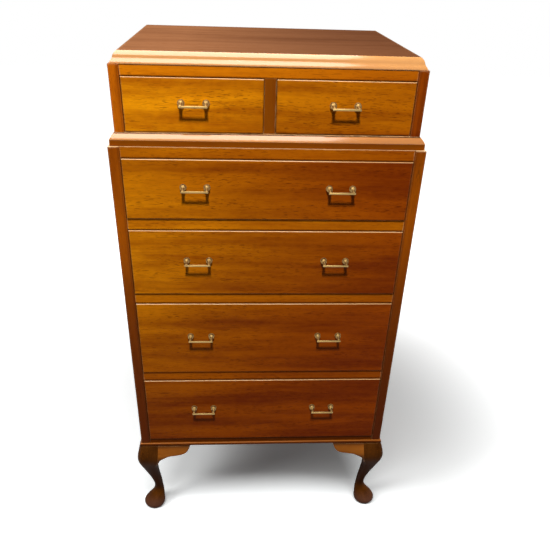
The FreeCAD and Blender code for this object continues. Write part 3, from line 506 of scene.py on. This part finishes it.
def wood(name, tones, dark_of=None, along="X", figure=0.5, band=20.0, flecks=0.4, wear=0.4,
         wear_width=0.003, dirt_and_shade=0.7, roughness=0.30, specular=0.03, shift=0.0, painted_shade=None,
         across=0.0, raised=0.0, crest=None, crest_rough=0.14, crest_ior=1.5, edge=None,
         edge_from="Crest", mitre=None, stain=None, all_round=0.0, dark_shins_pad_sheen=False, ledge=None,
         shadow_band=None):
    """A polished wood whose grain runs along one axis of the chest.

    Tones and dark_of name its figure. The painted_shade tone is painted where the chest is away
    from the top and left, across is how much that painted light and shade also depends on the side,
    and raised how far up it is moved. Crest is the range of upward slopes with a bright coat, and
    edge the colour painted on them, a painted highlight, but on the top, where edge_from takes all
    that isn't flat, it is the moulded edge's own colour. Mitre is the half width, face and width of
    a mitred moulding. The rest lies between two levels: stain, above which the colour leaves that
    of the legs, ledge, a painted highlight on a top edge, and shadow_band, a painted shadow under
    an overhang. All_round is 1 on a drawer front, whose faces in the gaps on every side get painted
    shade, and dark_shins_pad_sheen makes the shins darker and paints a sheen on the pad feet."""
    material, tree, place = blank_material(name)
    level = place.parts()[2]
    lengths = place
    if mitre:
        half, face, width = mitre
        corner = grouped("mitred_lengths", place, Half=half, Front=face, Width=width)
        lengths = corner["Vector"]
    turned = place.made("ShaderNodeMapping", {"Vector": lengths, "Rotation": ALONG[along]})
    grain = grouped("wood_grain", turned, Pale=tone(f"{tones}_pale"), Pore=tone("pore"),
                    Dark=tone(f"{dark_of or tones}_dark"), Figure=figure, Band=band, Flecks=flecks,
                    Shift=shift)
    surface = grain["Color"]
    # Painted light and shade: lighter towards the top and left of the chest.
    if painted_shade:
        surface = grouped("light_fading", place, Color=surface, Deep=tone(painted_shade), Across=across,
                          Raised=raised)["Color"]
    if crest:
        low, high = crest
        slopes = grouped("waxed_crests", place, Low=low, High=high, All_round=all_round)
        coat = slopes["Sloping crest"]
    # Painted highlight on the upward slopes of the fronts, mouldings and nosing; on the top, the
    # moulded edge's own colour on all that isn't flat.
    if edge:
        slope = grain["Share"].mix(tone(f"{edge}_pale"), tone(f"{edge}_dark"))
        surface = slopes[edge_from].mix(surface, slope)
    if mitre:
        surface = corner["Seam"].mix(surface, tone("pore"))
    if stain:
        surface = level.between(*stain).mix(tone("leg_pale"), surface)
    # Painted highlight, with coat, along the top of the ledge.
    if ledge:
        rubbed = level.between(*ledge) * slopes["Crest"]
        surface = rubbed.mix(surface, tone("arris_pale"))
        coat = coat.calc("MAXIMUM", rubbed)
    # Painted shadow: a dark band under an overhang.
    if shadow_band:
        shadow_share = level.between(*shadow_band)
        surface = shadow_share.mix(surface, tone("grime_and_shade"))
        if crest:
            coat = coat * (1.0 - shadow_share)
    # Darker shins, and a painted sheen on the pad feet.
    if dark_shins_pad_sheen:
        above = level.between(*SHIN_LEVELS[2:])
        shin_darkening = level.between(*SHIN_LEVELS[:2]) * (1.0 - above) * SHIN_DARKENING
        surface = shin_darkening.mix(surface, tone("leg_deep"))
        pad_sheen = (1.0 - level.between(*PAD_SHEEN_LEVELS)) * PAD_SHEEN
        surface = pad_sheen.mix(surface, tone("pad_sheen_tone"))
    # Worn upper arrises, and painted shade with soiling on the lower and inner ones.
    surface = grouped("edge_wear", place, Color=surface, Worn=tone("worn"), Grime=tone("grime_and_shade"),
                      Width=wear_width, Amount=wear, Dirt=dirt_and_shade)["Color"]
    dullness = grouped("old_polish", turned, Pores=grain["Pores"], Base=roughness)["Roughness"]
    relief = place.made("ShaderNodeBump", {
        "Strength": RELIEF, "Distance": GRAIN_DEPTH, "Height": grain["Height"]})
    inputs = {"Normal": relief, "Specular IOR Level": specular}
    # Painted shade on the faces inside the gaps, which are also made fully rough.
    if crest:
        surface = slopes["Hidden"].mix(surface, tone("gap_shade"))
        dullness = dullness.calc("MAXIMUM", slopes["Hidden"])
        inputs |= {"Coat Weight": coat, "Coat Roughness": crest_rough, "Coat IOR": crest_ior}
    inputs |= {"Base Color": surface, "Roughness": dullness}
    surfaced(tree, node(tree, "ShaderNodeBsdfPrincipled", inputs))
    return material


def brass():
    """Cast brass, darker where it is hard to rub, with fine scratches."""
    material, tree, place = blank_material("pull_brass")
    spots = place.noise(420.0, 3.0, 0.6).between(0.45, 0.75)
    reached = place.made("ShaderNodeAmbientOcclusion", {"Distance": 0.006}, "AO", samples=4,
                         only_local=True)
    hollow = (1.0 - reached).between(0.25, 0.75)
    share = (hollow * 0.30 + spots * 0.22).clamped()
    scratches = place.streaks((120.0, 2600.0, 2600.0))
    relief = place.made("ShaderNodeBump", {
        "Strength": 0.05, "Distance": 0.0002, "Height": scratches})
    shader = node(tree, "ShaderNodeBsdfPrincipled", {
        "Base Color": share.mix(tone("brass"), tone("tarnish")), "Metallic": 1.0, "Normal": relief,
        "Roughness": share * 0.2 + (place.noise(900.0) * 0.12 + 0.46)})
    surfaced(tree, shader)
    return material


def material_for(name):
    """The finish of this name, made when it is first asked for."""
    if name not in MATERIALS:
        MATERIALS[name] = brass() if name == "pull_brass" else wood(name, **FINISHES[name])
    return MATERIALS[name]


# ---- mesh helpers ----
def linked(name, data):
    """An object with this data, in the scene."""
    made = bpy.data.objects.new(name, data)
    bpy.context.scene.collection.objects.link(made)
    return made


def shown(name, mesh, body, slot, replaced, finish=None):
    """A finished piece: its object, finish and body, and the nodes it stands for."""
    made = linked(name, mesh)
    mesh.materials.clear()
    mesh.materials.append(material_for(finish or slot))
    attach(made, body)
    if replaced:
        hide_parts(*replaced)


def smooth_through(rows, steps):
    """Points on a natural cubic spline through the rows, evenly spaced in its chord length."""
    rows = np.array(rows, float)
    count = len(rows)
    gaps = np.linalg.norm(np.diff(rows, axis=0), axis=1)
    at = np.concatenate([[0.0], np.cumsum(gaps)])
    system = np.eye(count)
    right = np.zeros_like(rows)
    for k in range(1, count - 1):
        before, after = gaps[k - 1], gaps[k]
        system[k, k - 1:k + 2] = before, 2 * (before + after), after
        right[k] = 6 * ((rows[k + 1] - rows[k]) / after - (rows[k] - rows[k - 1]) / before)
    bend = np.linalg.solve(system, right)
    t = np.linspace(0.0, at[-1], steps + 1)
    k = np.minimum(np.searchsorted(at, t, side="right") - 1, count - 2)
    gap, low, high = (part[:, None] for part in (gaps[k], at[k + 1] - t, t - at[k]))
    return ((bend[k] * low ** 3 + bend[k + 1] * high ** 3) / (6 * gap)
            + (rows[k] / gap - bend[k] * gap / 6) * low
            + (rows[k + 1] / gap - bend[k + 1] * gap / 6) * high)


def solid(name, shells, angle):
    """A smooth closed mesh through the rings of points of each shell, with its faces outwards.

    It is sharp at edges that turn by more degrees than the angle."""
    work = bmesh.new()
    for shell in shells:
        rings = [[work.verts.new(point) for point in ring] for ring in shell]
        for near, far in zip(rings, rings[1:]):
            for left in range(len(near)):
                right = (left + 1) % len(near)
                work.faces.new((near[left], near[right], far[right], far[left]))
        work.faces.new(rings[0])
        work.faces.new(rings[-1][::-1])
    bmesh.ops.recalc_face_normals(work, faces=work.faces)
    mesh = bpy.data.meshes.new(name)
    work.to_mesh(mesh)
    work.free()
    mesh.polygons.foreach_set("use_smooth", [True] * len(mesh.polygons))
    mesh.set_sharp_from_angle(angle=math.radians(angle))
    return mesh


def across(rings, axis, middle=0.0):
    """The same rings on the other side of the plane square to the axis."""
    there = rings.copy()
    there[..., axis] = 2 * middle - there[..., axis]
    return there


# ---- cabriole legs and ears ----
LEG_STEPS, EAR_STEPS, EAR_DOWN, QUARTER_FLATS = 84, 44, 14, 7
LEG_SHARP, EAR_SHARP = 50, 38
EAR_START = -0.010          # an ear begins this far inside the leg
EAR_ARRIS = 0.0022
# Roundness of a leg's corners beside the ears, and what each gains below them: outer back, inner
# back, inner front, outer front. All of them gain the last share from above the ankle down.
LEG_CORNERS = ((0.08, 0.56), (0.35, 0.29), (0.08, 0.56), (0.50, 0.14))
ANKLE_ROUNDING = 0.36


def leg_rows(sizes):
    """Template of a leg: outer side and inner side in from the carcass faces, and the level."""
    block = sizes.block - NOSING
    knee_out, knee_up = sizes.knee_projection, sizes.knee_height
    knee = sizes.knee_width - knee_out
    ankle_in, ankle_up = sizes.ankle_inset, sizes.ankle_height
    ankle = ankle_in + sizes.ankle_diameter
    pad_out, pad_up = sizes.pad_overhang, sizes.pad_height
    pad = sizes.pad_diameter - pad_out
    rounding = (sizes.pad_diameter - sizes.sole_diameter) / 2

    def rows_to(out_to, low, high, *rows):
        """Rows on the way to the ankle: shares of how far out and up, and the inner side."""
        return [(ankle_in - (out_to + ankle_in) * share, inner, low + (high - low) * up)
                for share, up, inner in rows]

    return [
        (-NOSING, block, UNDERSIDE),
        (-NOSING - (knee_out - NOSING) * 0.72, block - 0.001, (knee_up + UNDERSIDE) / 2),
        (-knee_out, knee + 0.0015, knee_up),
        *rows_to(knee_out, ankle_up, knee_up,
                 (0.83, 0.80, knee - 0.0035), (0.56, 0.60, knee - 0.0055),
                 (0.28, 0.38, knee - 0.0025), (0.07, 0.16, ankle - 0.0020)),
        (ankle_in, ankle, ankle_up),
        *rows_to(pad_out, pad_up, ankle_up, (0.09, 0.74, ankle + 0.0019),
                 (0.43, 0.44, pad - 0.0016), (0.81, 0.20, pad - 0.0006)),
        (-pad_out, pad, pad_up),
        (-pad_out + rounding * 0.30, pad - rounding * 0.30, pad_up * 0.42),
        (-pad_out + rounding, pad - rounding, 0.0),
    ]


def eased(value, low, high):
    share = min(1.0, max(0.0, (value - low) / (high - low)))
    return share * share * (3 - 2 * share)


def leg_ring(sizes, outer, inner, level):
    """Section of the front right leg: square beside the ears, round from the ankle down."""
    half, middle = (inner - outer) / 2, (inner + outer) / 2
    below_ear = UNDERSIDE - sizes.ear_drop
    free = 1.0 - eased(level, below_ear - 0.045, below_ear + 0.004)
    low = 1.0 - eased(level, sizes.ankle_height, sizes.ankle_height + 0.09)
    points = []
    for quarter, (beside_ear, gained) in enumerate(LEG_CORNERS):
        radius = half * min(1.0, beside_ear + gained * free + ANKLE_ROUNDING * low)
        centre_x = CHEST_HALF - middle + (half - radius) * (1 if quarter in (0, 3) else -1)
        centre_y = LOWER_FACE + middle + (half - radius) * (1 if quarter in (0, 1) else -1)
        for flat in range(QUARTER_FLATS + 1):
            turn = math.pi / 2 * (quarter + flat / QUARTER_FLATS)
            points.append((centre_x + radius * math.cos(turn),
                           centre_y + radius * math.sin(turn), level))
    return points


def ear_low(sizes, inboard):
    """Level of the ear's lower edge at a distance from the leg, on a curve through its knots."""
    waist = UNDERSIDE - sizes.ear_waist
    heel = UNDERSIDE - sizes.ear_drop
    rise, drop = sizes.ear_waist, sizes.ear_drop - sizes.ear_waist
    knots = [(-0.15, heel - 0.030), (-0.047, heel - 0.010), (0.0, heel + 0.003),
             (0.04, heel + 0.009), (0.115, waist - drop * 0.46), (0.32, waist - drop * 0.10),
             (0.56, waist), (0.77, waist + rise * 0.10), (0.905, waist + rise * 0.38),
             (1.0, UNDERSIDE)]
    (x0, z0), (x1, z1) = knots[:2]
    xs, zs = zip((2 * x0 - x1, 2 * z0 - z1), *knots, (1.04, UNDERSIDE + 0.03))
    share = min(max(inboard / sizes.ear_length, x0), 1.0)
    k = max(2, int(np.searchsorted(xs, share)))
    width = xs[k] - xs[k - 1]
    before = (zs[k] - zs[k - 2]) / (xs[k] - xs[k - 2]) * width
    after = (zs[k + 1] - zs[k - 1]) / (xs[k + 1] - xs[k - 1]) * width
    t = (share - xs[k - 1]) / width
    return ((2 * t ** 3 - 3 * t ** 2 + 1) * zs[k - 1] + (t ** 3 - 2 * t ** 2 + t) * before
            + (3 * t ** 2 - 2 * t ** 3) * zs[k] + (t ** 3 - t ** 2) * after)


def ear_rings(sizes):
    """The ear beside the front right leg, flush with the leg's front and thin at its end."""
    joint = CHEST_HALF - (sizes.block - NOSING)
    profile = smooth_through(leg_rows(sizes), 120)[::-1]
    levels, fronts = [row[2] for row in profile], [-row[0] for row in profile]
    rings = []
    for inboard in np.linspace(EAR_START, sizes.ear_length, EAR_STEPS + 1):
        low = min(ear_low(sizes, inboard), UNDERSIDE - 0.0006)
        arris = min(EAR_ARRIS, (UNDERSIDE - low) * 0.4)
        thin = max(0.0, inboard / sizes.ear_length) ** 0.9
        ring = []
        for level in np.linspace(UNDERSIDE, low + arris, EAR_DOWN + 1):
            thick = np.interp(level, levels, fronts) - 0.0007
            slim = 0.0045 + 0.002 * min(1.0, (UNDERSIDE - level) / 0.05)
            ring.append((thick * (1 - thin) + slim * thin, level))
        front, level = ring[-1]
        for angle in (math.pi / 6, math.pi / 3, math.pi / 2):
            ring.append((front - arris * (1 - math.cos(angle)), level - arris * math.sin(angle)))
        ring += [(-sizes.ear_back * 0.4, low), (-sizes.ear_back, low), (-sizes.ear_back, UNDERSIDE)]
        rings.append([(joint - inboard, LOWER_FACE - ahead, z) for ahead, z in ring])
    return np.array(rings)


class CHEST_OT_legs(bpy.types.Operator):
    """Carve the four cabriole legs with their pad feet"""
    bl_idname = "chest.legs"
    bl_label = "Cabriole Legs"

    def execute(self, context):
        sizes = context.scene.leg_sizes
        rows = smooth_through(leg_rows(sizes), LEG_STEPS)
        right = np.array([leg_ring(sizes, *row) for row in rows])
        left = across(right, 0)
        legs = {"front_right": right, "front_left": left,
                "rear_right": across(right, 1, MIDDLE), "rear_left": across(left, 1, MIDDLE)}
        for place, rings in legs.items():
            mesh = solid(f"leg_{place}", [rings], LEG_SHARP)
            shown(f"carved_leg_{place}", mesh, "carcase", "leg_mahogany", [f"leg_{place}"])
        return {"FINISHED"}


class CHEST_OT_ears(bpy.types.Operator):
    """Shape the ears that carry the knees into the base board"""
    bl_idname = "chest.ears"
    bl_label = "Knee Ears"

    def execute(self, context):
        front = ear_rings(context.scene.leg_sizes)
        corner = CHEST_HALF + LOWER_FACE
        side = np.stack((corner - front[..., 1], corner - front[..., 0], front[..., 2]), -1)
        right = [front, side, across(side, 1, MIDDLE)]
        ears = solid("knee_ears", right + [across(ear, 0) for ear in right], EAR_SHARP)
        shown("carved_ears", ears, "carcase", "leg_mahogany", ["knee_ears"], "ear_mahogany")
        return {"FINISHED"}


# ---- pulls and screws ----
FORWARD, INWARD, RIGHT = Vector((0, -1, 0)), Vector((0, 1, 0)), Vector((1, 0, 0))
PULL_SHARP, SCREW_SHARP = 42, 35
ROSE_RIM = 0.0014           # thickness of the disc
NECK_TOP = 0.0035           # radius of the flat on the ball, under the neck
BALL_FOOT = -0.6            # angle below its equator where the ball meets the rose
NECK = ((0.0056, 0.0), (0.0050, 0.06), (0.0046, 0.16), (0.0042, 0.35), (0.0040, 0.6),
        (0.0038, 0.82), (0.0034, 0.94), (0.0027, 1.02))      # radius, share of the way to the bar
SCREW_SEED, SCREW_TURN = 7, math.radians(70)


def lathe(profile, centre, sides, axis):
    """Rings of a turned shape from (radius, height) pairs, along the axis from the centre."""
    side = axis.orthogonal().normalized()
    other = axis.cross(side)
    turns = [2 * math.pi * k / sides for k in range(sides)]
    return [[centre + axis * height + side * (radius * math.cos(turn))
             + other * (radius * math.sin(turn)) for turn in turns] for radius, height in profile]


def pull_mesh(sizes):
    """One cast pull about its middle on the drawer's face: roses, balls, necks and the bar."""
    rose, dome, top = sizes.rose_diameter / 2, sizes.dome_diameter / 2, sizes.dome_height
    profile = [(rose - 0.0003, 0.0), (rose, 0.0004), (rose, ROSE_RIM - 0.0005),
               (rose - 0.0003, ROSE_RIM - 0.0001), (rose - 0.0010, ROSE_RIM),
               (dome - 0.0004, ROSE_RIM)]
    low = math.sin(BALL_FOOT)
    for step in range(12):
        turn = BALL_FOOT + (math.pi / 2 - BALL_FOOT) * step / 12
        share = (math.sin(turn) - low) / (1 - low)
        profile.append((NECK_TOP + (dome - NECK_TOP) * math.cos(turn),
                        ROSE_RIM + (top - ROSE_RIM) * share))
    profile.append((NECK_TOP, top))
    axis = Vector((0, -sizes.reach, -sizes.drop))
    shells = []
    for side in (-1, 1):
        middle = Vector((side * sizes.centres / 2, 0, 0))
        root = middle + FORWARD * (top - 0.001)
        rake = middle + axis - root
        neck = [(radius, rake.length * share) for radius, share in NECK]
        shells += [lathe(profile, middle, 28, FORWARD), lathe(neck, root, 20, rake.normalized())]
    bar = sizes.bar_diameter / 2
    ends = [(bar * 0.35, 0.0), (bar * 0.78, 0.0004), (bar, 0.0012)]
    far_ends = [(radius, sizes.bar_length - height) for radius, height in ends[::-1]]
    shells.append(lathe(ends + far_ends, axis - RIGHT * (sizes.bar_length / 2), 20, RIGHT))
    return solid("pull", shells, PULL_SHARP)


def screw_mesh(sizes):
    """A slotted round-head screw on a washer, seen from inside the drawer."""
    head, half_slot = sizes.screw_head / 2, 0.0005
    washer = [(head * 1.35, 0.0), (head * 1.35, 0.0005), (head * 1.28, 0.0007), (head, 0.0007)]
    shells = [lathe(washer, Vector(), 20, INWARD)]
    for side in (-1, 1):
        rings = []
        for share in (0.0, 0.3, 0.6, 0.85, 1.0):
            rise = math.pi / 2 * share
            radius = head * math.cos(rise) * 0.98 + 0.0002
            low = math.atan2(half_slot, math.sqrt(max(radius ** 2 - half_slot ** 2, 1e-9)))
            rings.append([(radius * math.cos(turn) if radius > half_slot else 0.0,
                           0.0006 + 0.0024 * math.sin(rise),
                           side * max(half_slot, radius * math.sin(turn)))
                          for turn in np.linspace(low, math.pi - low, 9)])
        shells.append(rings)
    return solid("screw", shells, SCREW_SHARP)


def copies_tree():
    """Copies of a piece on the points of a mesh, each turned a little about the Y axis."""
    tree = bpy.data.node_groups.new("placed_copies", "GeometryNodeTree")
    for label, kind in (("Points", "Geometry"), ("Piece", "Object"), ("Finish", "Material"),
                        ("Turn", "Float"), ("Seed", "Int")):
        tree.interface.new_socket(label, in_out="INPUT", socket_type=f"NodeSocket{kind}")
    tree.interface.new_socket("Copies", in_out="OUTPUT", socket_type="NodeSocketGeometry")
    points, piece, finish, turn, seed = (
        Field(tree, socket) for socket in tree.nodes.new("NodeGroupInput").outputs[:-1])
    shape = piece.made("GeometryNodeObjectInfo", {"Object": piece}, "Geometry")
    chance = seed.made("FunctionNodeRandomValue", {2: turn * -1.0, 3: turn, "Seed": seed}, 1,
                       data_type="FLOAT")
    placed = points.made("GeometryNodeInstanceOnPoints", {
        "Points": points, "Instance": shape, "Rotation": joined(tree, 0.0, chance, 0.0)})
    real = placed.made("GeometryNodeRealizeInstances", {"Geometry": placed})
    done = real.made("GeometryNodeSetMaterial", {"Geometry": real, "Material": finish})
    node(tree, "NodeGroupOutput", {"Copies": done})
    return tree


def placed_copies(name, piece, points, turn=0.0, seed=SCREW_SEED):
    """A plain mesh of the brass piece copied to the points by the geometry nodes."""
    tree = bpy.data.node_groups.get("placed_copies") or copies_tree()
    cloud = bpy.data.meshes.new(name)
    cloud.from_pydata(points, [], [])
    source, carrier = linked(f"{name}_source", piece), linked(f"{name}_points", cloud)
    copier = carrier.modifiers.new("copies", "NODES")
    copier.node_group = tree
    values = {"Piece": source, "Finish": material_for("pull_brass"), "Turn": turn, "Seed": seed}
    for item in tree.interface.items_tree:
        if item.in_out == "INPUT" and item.name in values:
            copier[item.identifier] = values[item.name]
    carrier.update_tag()
    graph = bpy.context.evaluated_depsgraph_get()
    mesh = bpy.data.meshes.new_from_object(carrier.evaluated_get(graph))
    mesh.name = name
    if len(mesh.vertices) < len(points) * len(piece.vertices):
        raise RuntimeError(f"{name} came out empty")
    for item in (source, carrier):
        bpy.data.objects.remove(item)
    return mesh


def pull_places(drawer):
    """Middles of the pulls on a drawer's face, level with their posts."""
    sizes = bpy.context.scene.pull_sizes
    low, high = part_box(f"{drawer}_pulls")
    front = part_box(f"{drawer}_front")[0].y
    level = high.z - PACKED_ROSE / 2 - sizes.lowering
    reach = high.x - sizes.bar_length / 2
    middles = [(low.x + high.x) / 2] if drawer in SHORT_DRAWERS else [-reach, reach]
    return [Vector((middle, front, level)) for middle in middles]


class CHEST_OT_pulls(bpy.types.Operator):
    """Set the cast brass pulls on every drawer front"""
    bl_idname = "chest.pulls"
    bl_label = "Brass Pulls"

    def execute(self, context):
        pull = pull_mesh(context.scene.pull_sizes)
        for drawer in DRAWERS:
            mesh = placed_copies(f"{drawer}_pull_set", pull, pull_places(drawer))
            shown(f"brass_pulls_{drawer}", mesh, f"drawer_{drawer}", "pull_brass",
                  [f"{drawer}_pulls"])
        return {"FINISHED"}


class CHEST_OT_screws(bpy.types.Operator):
    """Put the screws of the pulls inside the drawer fronts"""
    bl_idname = "chest.screws"
    bl_label = "Pull Screws"

    def execute(self, context):
        sizes = context.scene.pull_sizes
        screw = screw_mesh(sizes)
        for seed, drawer in enumerate(DRAWERS, SCREW_SEED):
            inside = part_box(f"{drawer}_front")[1].y
            points = [(place.x + side * sizes.centres / 2, inside, place.z)
                      for place in pull_places(drawer) for side in (-1, 1)]
            mesh = placed_copies(f"{drawer}_screw_set", screw, points, SCREW_TURN, seed)
            shown(f"screws_{drawer}", mesh, f"drawer_{drawer}", "pull_brass", [])
        return {"FINISHED"}


# ---- finishes of the CAD pieces ----
CARCASE_FINISHES = {
    "top_mahogany": ["top_board"],
    "side_mahogany": ["upper_side_left", "upper_side_right", "lower_side_left", "lower_side_right"],
    "upper_upright_mahogany": ["upper_stiles"],
    "upright_mahogany": ["lower_stiles"],
    "divider_mahogany": ["centre_divider"],
    "rail_mahogany": ["upper_top_rail"],
    "drawer_rail_mahogany": ["drawer_rails"],
    "low_rail_mahogany": ["bottom_rail"],
    "moulding_mahogany": ["waist_moulding"],
    "nosing_mahogany": ["base_board"],
    "back_ply": ["upper_back_panel", "lower_back_panel"],
    "carcass_timber": ["upper_bottom_board", "lower_top_board", "drawer_runners", "drawer_stops"],
}
DRAWER_FINISHES = {
    "front_mahogany": ["front"],
    "drawer_timber": ["side_left", "side_right"],
    "drawer_timber_back": ["back"],
    "drawer_ply": ["bottom"],
}


def paint(finishes, prefix=""):
    """Give the CAD nodes their finishes."""
    for finish, names in finishes.items():
        for name in names:
            materials = NODES[prefix + name].data.materials
            materials.clear()
            materials.append(material_for(finish))


class CHEST_OT_carcase(bpy.types.Operator):
    """Polish the carcass, its rails, stiles and mouldings"""
    bl_idname = "chest.carcase"
    bl_label = "Carcass Finish"

    def execute(self, context):
        paint(CARCASE_FINISHES)
        return {"FINISHED"}


class CHEST_OT_drawers(bpy.types.Operator):
    """Polish the drawer fronts and leave the linings in pale waxed wood"""
    bl_idname = "chest.drawers"
    bl_label = "Drawer Finish"

    def execute(self, context):
        for drawer in DRAWERS:
            paint(DRAWER_FINISHES, f"{drawer}_")
        return {"FINISHED"}


# ---- stage ----
DAYLIGHT = (1.0, 0.98, 0.95)
CHEST_LAMPS = {             # place, what it looks at, size, its power among the settings, colour
    "key_lamp": ((-0.12, -2.32, 4.0), (0.0, -0.30, 1.0), (0.30, 0.36), "key_power",
                 (1.0, 0.98, 0.93)),
    "ceiling_panel": ((-0.30, -0.55, 2.70), (-0.30, -0.54, 0.0), (1.50, 2.20), "panel_power",
                      (1.0, 0.93, 0.84)),
    "front_fill": ((-1.3, -2.6, 1.9), (0.0, 0.0, 0.8), (1.6, 1.6), "fill_power", DAYLIGHT),
    "side_lamp_left": ((-1.9, 0.45, 2.9), (-0.4, 0.0, 0.8), (1.2, 1.2), "side_power", DAYLIGHT),
    "side_lamp_right": ((1.9, 0.45, 2.9), (0.4, 0.0, 0.8), (1.2, 1.2), "side_power", DAYLIGHT),
    "back_lamp": ((0.0, 2.3, 2.9), (0.0, 0.3, 0.8), (1.4, 1.2), "back_power", DAYLIGHT),
}
FLOOR_LAMPS = {
    "floor_lamp_left": ((-2.6, -1.1, 2.3), (0.0, 0.0, 0.0), (1.4, 1.4), "floor_left_power",
                        WHITE[:3]),
    "floor_lamp_front": ((-0.12, -1.35, 3.6), (0.0, -0.2, 0.0), (3.4, 1.3), "floor_front_power",
                         WHITE[:3]),
}
FLOOR_REACH = 9.0
FLOOR_BOUNCE = (0.15, 0.15, 0.15, 1.0)       # how bright the floor is to the wood
FLOOR_SEEN = (1.30, 1.33, 1.33, 1.0)
FLOOR_GLOW = (0.65, 1.8)    # distances between which the floor turns white by itself
CAMERA_SHIFT = (0.00334, 0.0781)


def seen_directly(tree):
    """1 for camera, glossy and transmission rays, else 0."""
    path = tree.nodes.new("ShaderNodeLightPath").outputs
    seen = Field(tree, path["Is Camera Ray"]) + path["Is Glossy Ray"] + path["Is Transmission Ray"]
    return seen.clamped()


def lamps(table, settings, receiver, state):
    """Area lamps that light the receiver alone, or everything but it."""
    group = bpy.data.collections.new(f"lamps_{state.lower()}")
    group.objects.link(receiver)
    group.collection_objects[0].light_linking.link_state = state
    for name, (place, target, size, key, tint) in table.items():
        data = bpy.data.lights.new(name, "AREA")
        data.shape = "RECTANGLE"
        data.size, data.size_y = size
        data.energy = getattr(settings, key)
        data.color = tint
        made = linked(name, data)
        made.location = place
        made.rotation_mode = "QUATERNION"
        made.rotation_quaternion = (Vector(target) - Vector(place)).to_track_quat("-Z", "Y")
        made.light_linking.receiver_collection = group


def floor_material():
    """Pale floor that reads white where nothing shades it, and keeps the chest's shadow."""
    material, tree, place = blank_material("pale_floor")
    direct = seen_directly(tree)
    diffuse = node(tree, "ShaderNodeBsdfDiffuse", {"Color": direct.mix(FLOOR_BOUNCE, FLOOR_SEEN)})
    # Painted light on the floor: a small glow everywhere, growing with distance, which also
    # lightens the chest's shadow there.
    glow = place.vector("LENGTH", output="Value").between(*FLOOR_GLOW) + 0.03
    lift = node(tree, "ShaderNodeEmission", {"Strength": direct * glow})
    both = node(tree, "ShaderNodeAddShader", {0: diffuse.outputs[0], 1: lift.outputs[0]})
    surfaced(tree, both)
    return material


class CHEST_OT_stage(bpy.types.Operator):
    """Set the floor, the soft lamps, the room's light and the camera"""
    bl_idname = "chest.stage"
    bl_label = "Stage"

    def execute(self, context):
        scene, settings = context.scene, context.scene.stage_settings
        mesh = bpy.data.meshes.new("floor")
        sides = (-FLOOR_REACH, FLOOR_REACH)
        mesh.from_pydata([(x, y, 0) for x in sides for y in sides], [], [(0, 2, 3, 1)])
        mesh.materials.append(floor_material())
        floor = linked("floor", mesh)
        lamps(CHEST_LAMPS, settings, floor, "EXCLUDE")
        lamps(FLOOR_LAMPS, settings, floor, "INCLUDE")
        scene.objects["key_lamp"].visible_glossy = False
        scene.objects["ceiling_panel"].visible_diffuse = False

        scene.world = bpy.data.worlds.new("white_room")
        scene.world.use_nodes = True
        tree = scene.world.node_tree
        tree.nodes.clear()
        strength = seen_directly(tree) * (1.0 - settings.ambient) + settings.ambient
        light = node(tree, "ShaderNodeBackground", {"Color": WHITE, "Strength": strength})
        surfaced(tree, light, "World")

        data = bpy.data.cameras.new("camera")
        data.lens, data.sensor_width = settings.lens, 36.0
        data.shift_x, data.shift_y = CAMERA_SHIFT
        camera = linked("camera", data)
        turn = (Matrix.Rotation(settings.roll, 3, "Y") @ Matrix.Rotation(settings.pitch, 3, "X")
                @ Matrix.Rotation(-settings.yaw, 3, "Z"))
        right, ahead, up = turn
        axes = Matrix((right, up, -ahead)).transposed()
        camera.matrix_world = Matrix.Translation(settings.camera_place) @ axes.to_4x4()
        scene.camera = camera
        scene.view_settings.view_transform = "Standard"
        return {"FINISHED"}


# ---- panel and registration ----
class CHEST_PT_panel(bpy.types.Panel):
    """Lists the pieces of the chest and their sizes"""
    bl_idname = "CHEST_PT_panel"
    bl_label = "Tallboy Chest"
    bl_space_type = "VIEW_3D"
    bl_region_type = "UI"
    bl_category = "Tallboy"

    def draw(self, context):
        for operator in OPERATORS:
            self.layout.operator(operator.bl_idname)
        for group in PROPERTY_GROUPS:
            settings = getattr(context.scene, group)
            box = self.layout.box()
            for key in settings.bl_rna.properties.keys():
                if key not in ("rna_type", "name"):
                    box.prop(settings, key)


OPERATORS = (CHEST_OT_stage, CHEST_OT_carcase, CHEST_OT_drawers, CHEST_OT_legs, CHEST_OT_ears,
             CHEST_OT_pulls, CHEST_OT_screws)
PROPERTY_GROUPS = {"leg_sizes": LegSizes, "pull_sizes": PullSizes, "finish_colours": FinishColours,
                   "stage_settings": StageSettings}


def register():
    for name, group in PROPERTY_GROUPS.items():
        bpy.utils.register_class(group)
        setattr(bpy.types.Scene, name, bpy.props.PointerProperty(type=group))
    for item in OPERATORS + (CHEST_PT_panel,):
        bpy.utils.register_class(item)


def unregister():
    for item in (CHEST_PT_panel,) + OPERATORS[::-1]:
        bpy.utils.unregister_class(item)
    for name, group in PROPERTY_GROUPS.items():
        delattr(bpy.types.Scene, name)
        bpy.utils.unregister_class(group)


def main():
    register()
    bpy.ops.chest.stage()
    bpy.ops.chest.carcase()
    bpy.ops.chest.drawers()
    bpy.ops.chest.legs()
    bpy.ops.chest.ears()
    bpy.ops.chest.pulls()
    bpy.ops.chest.screws()
    bpy.context.view_layer.update()


if __name__ == "__main__":
    main()
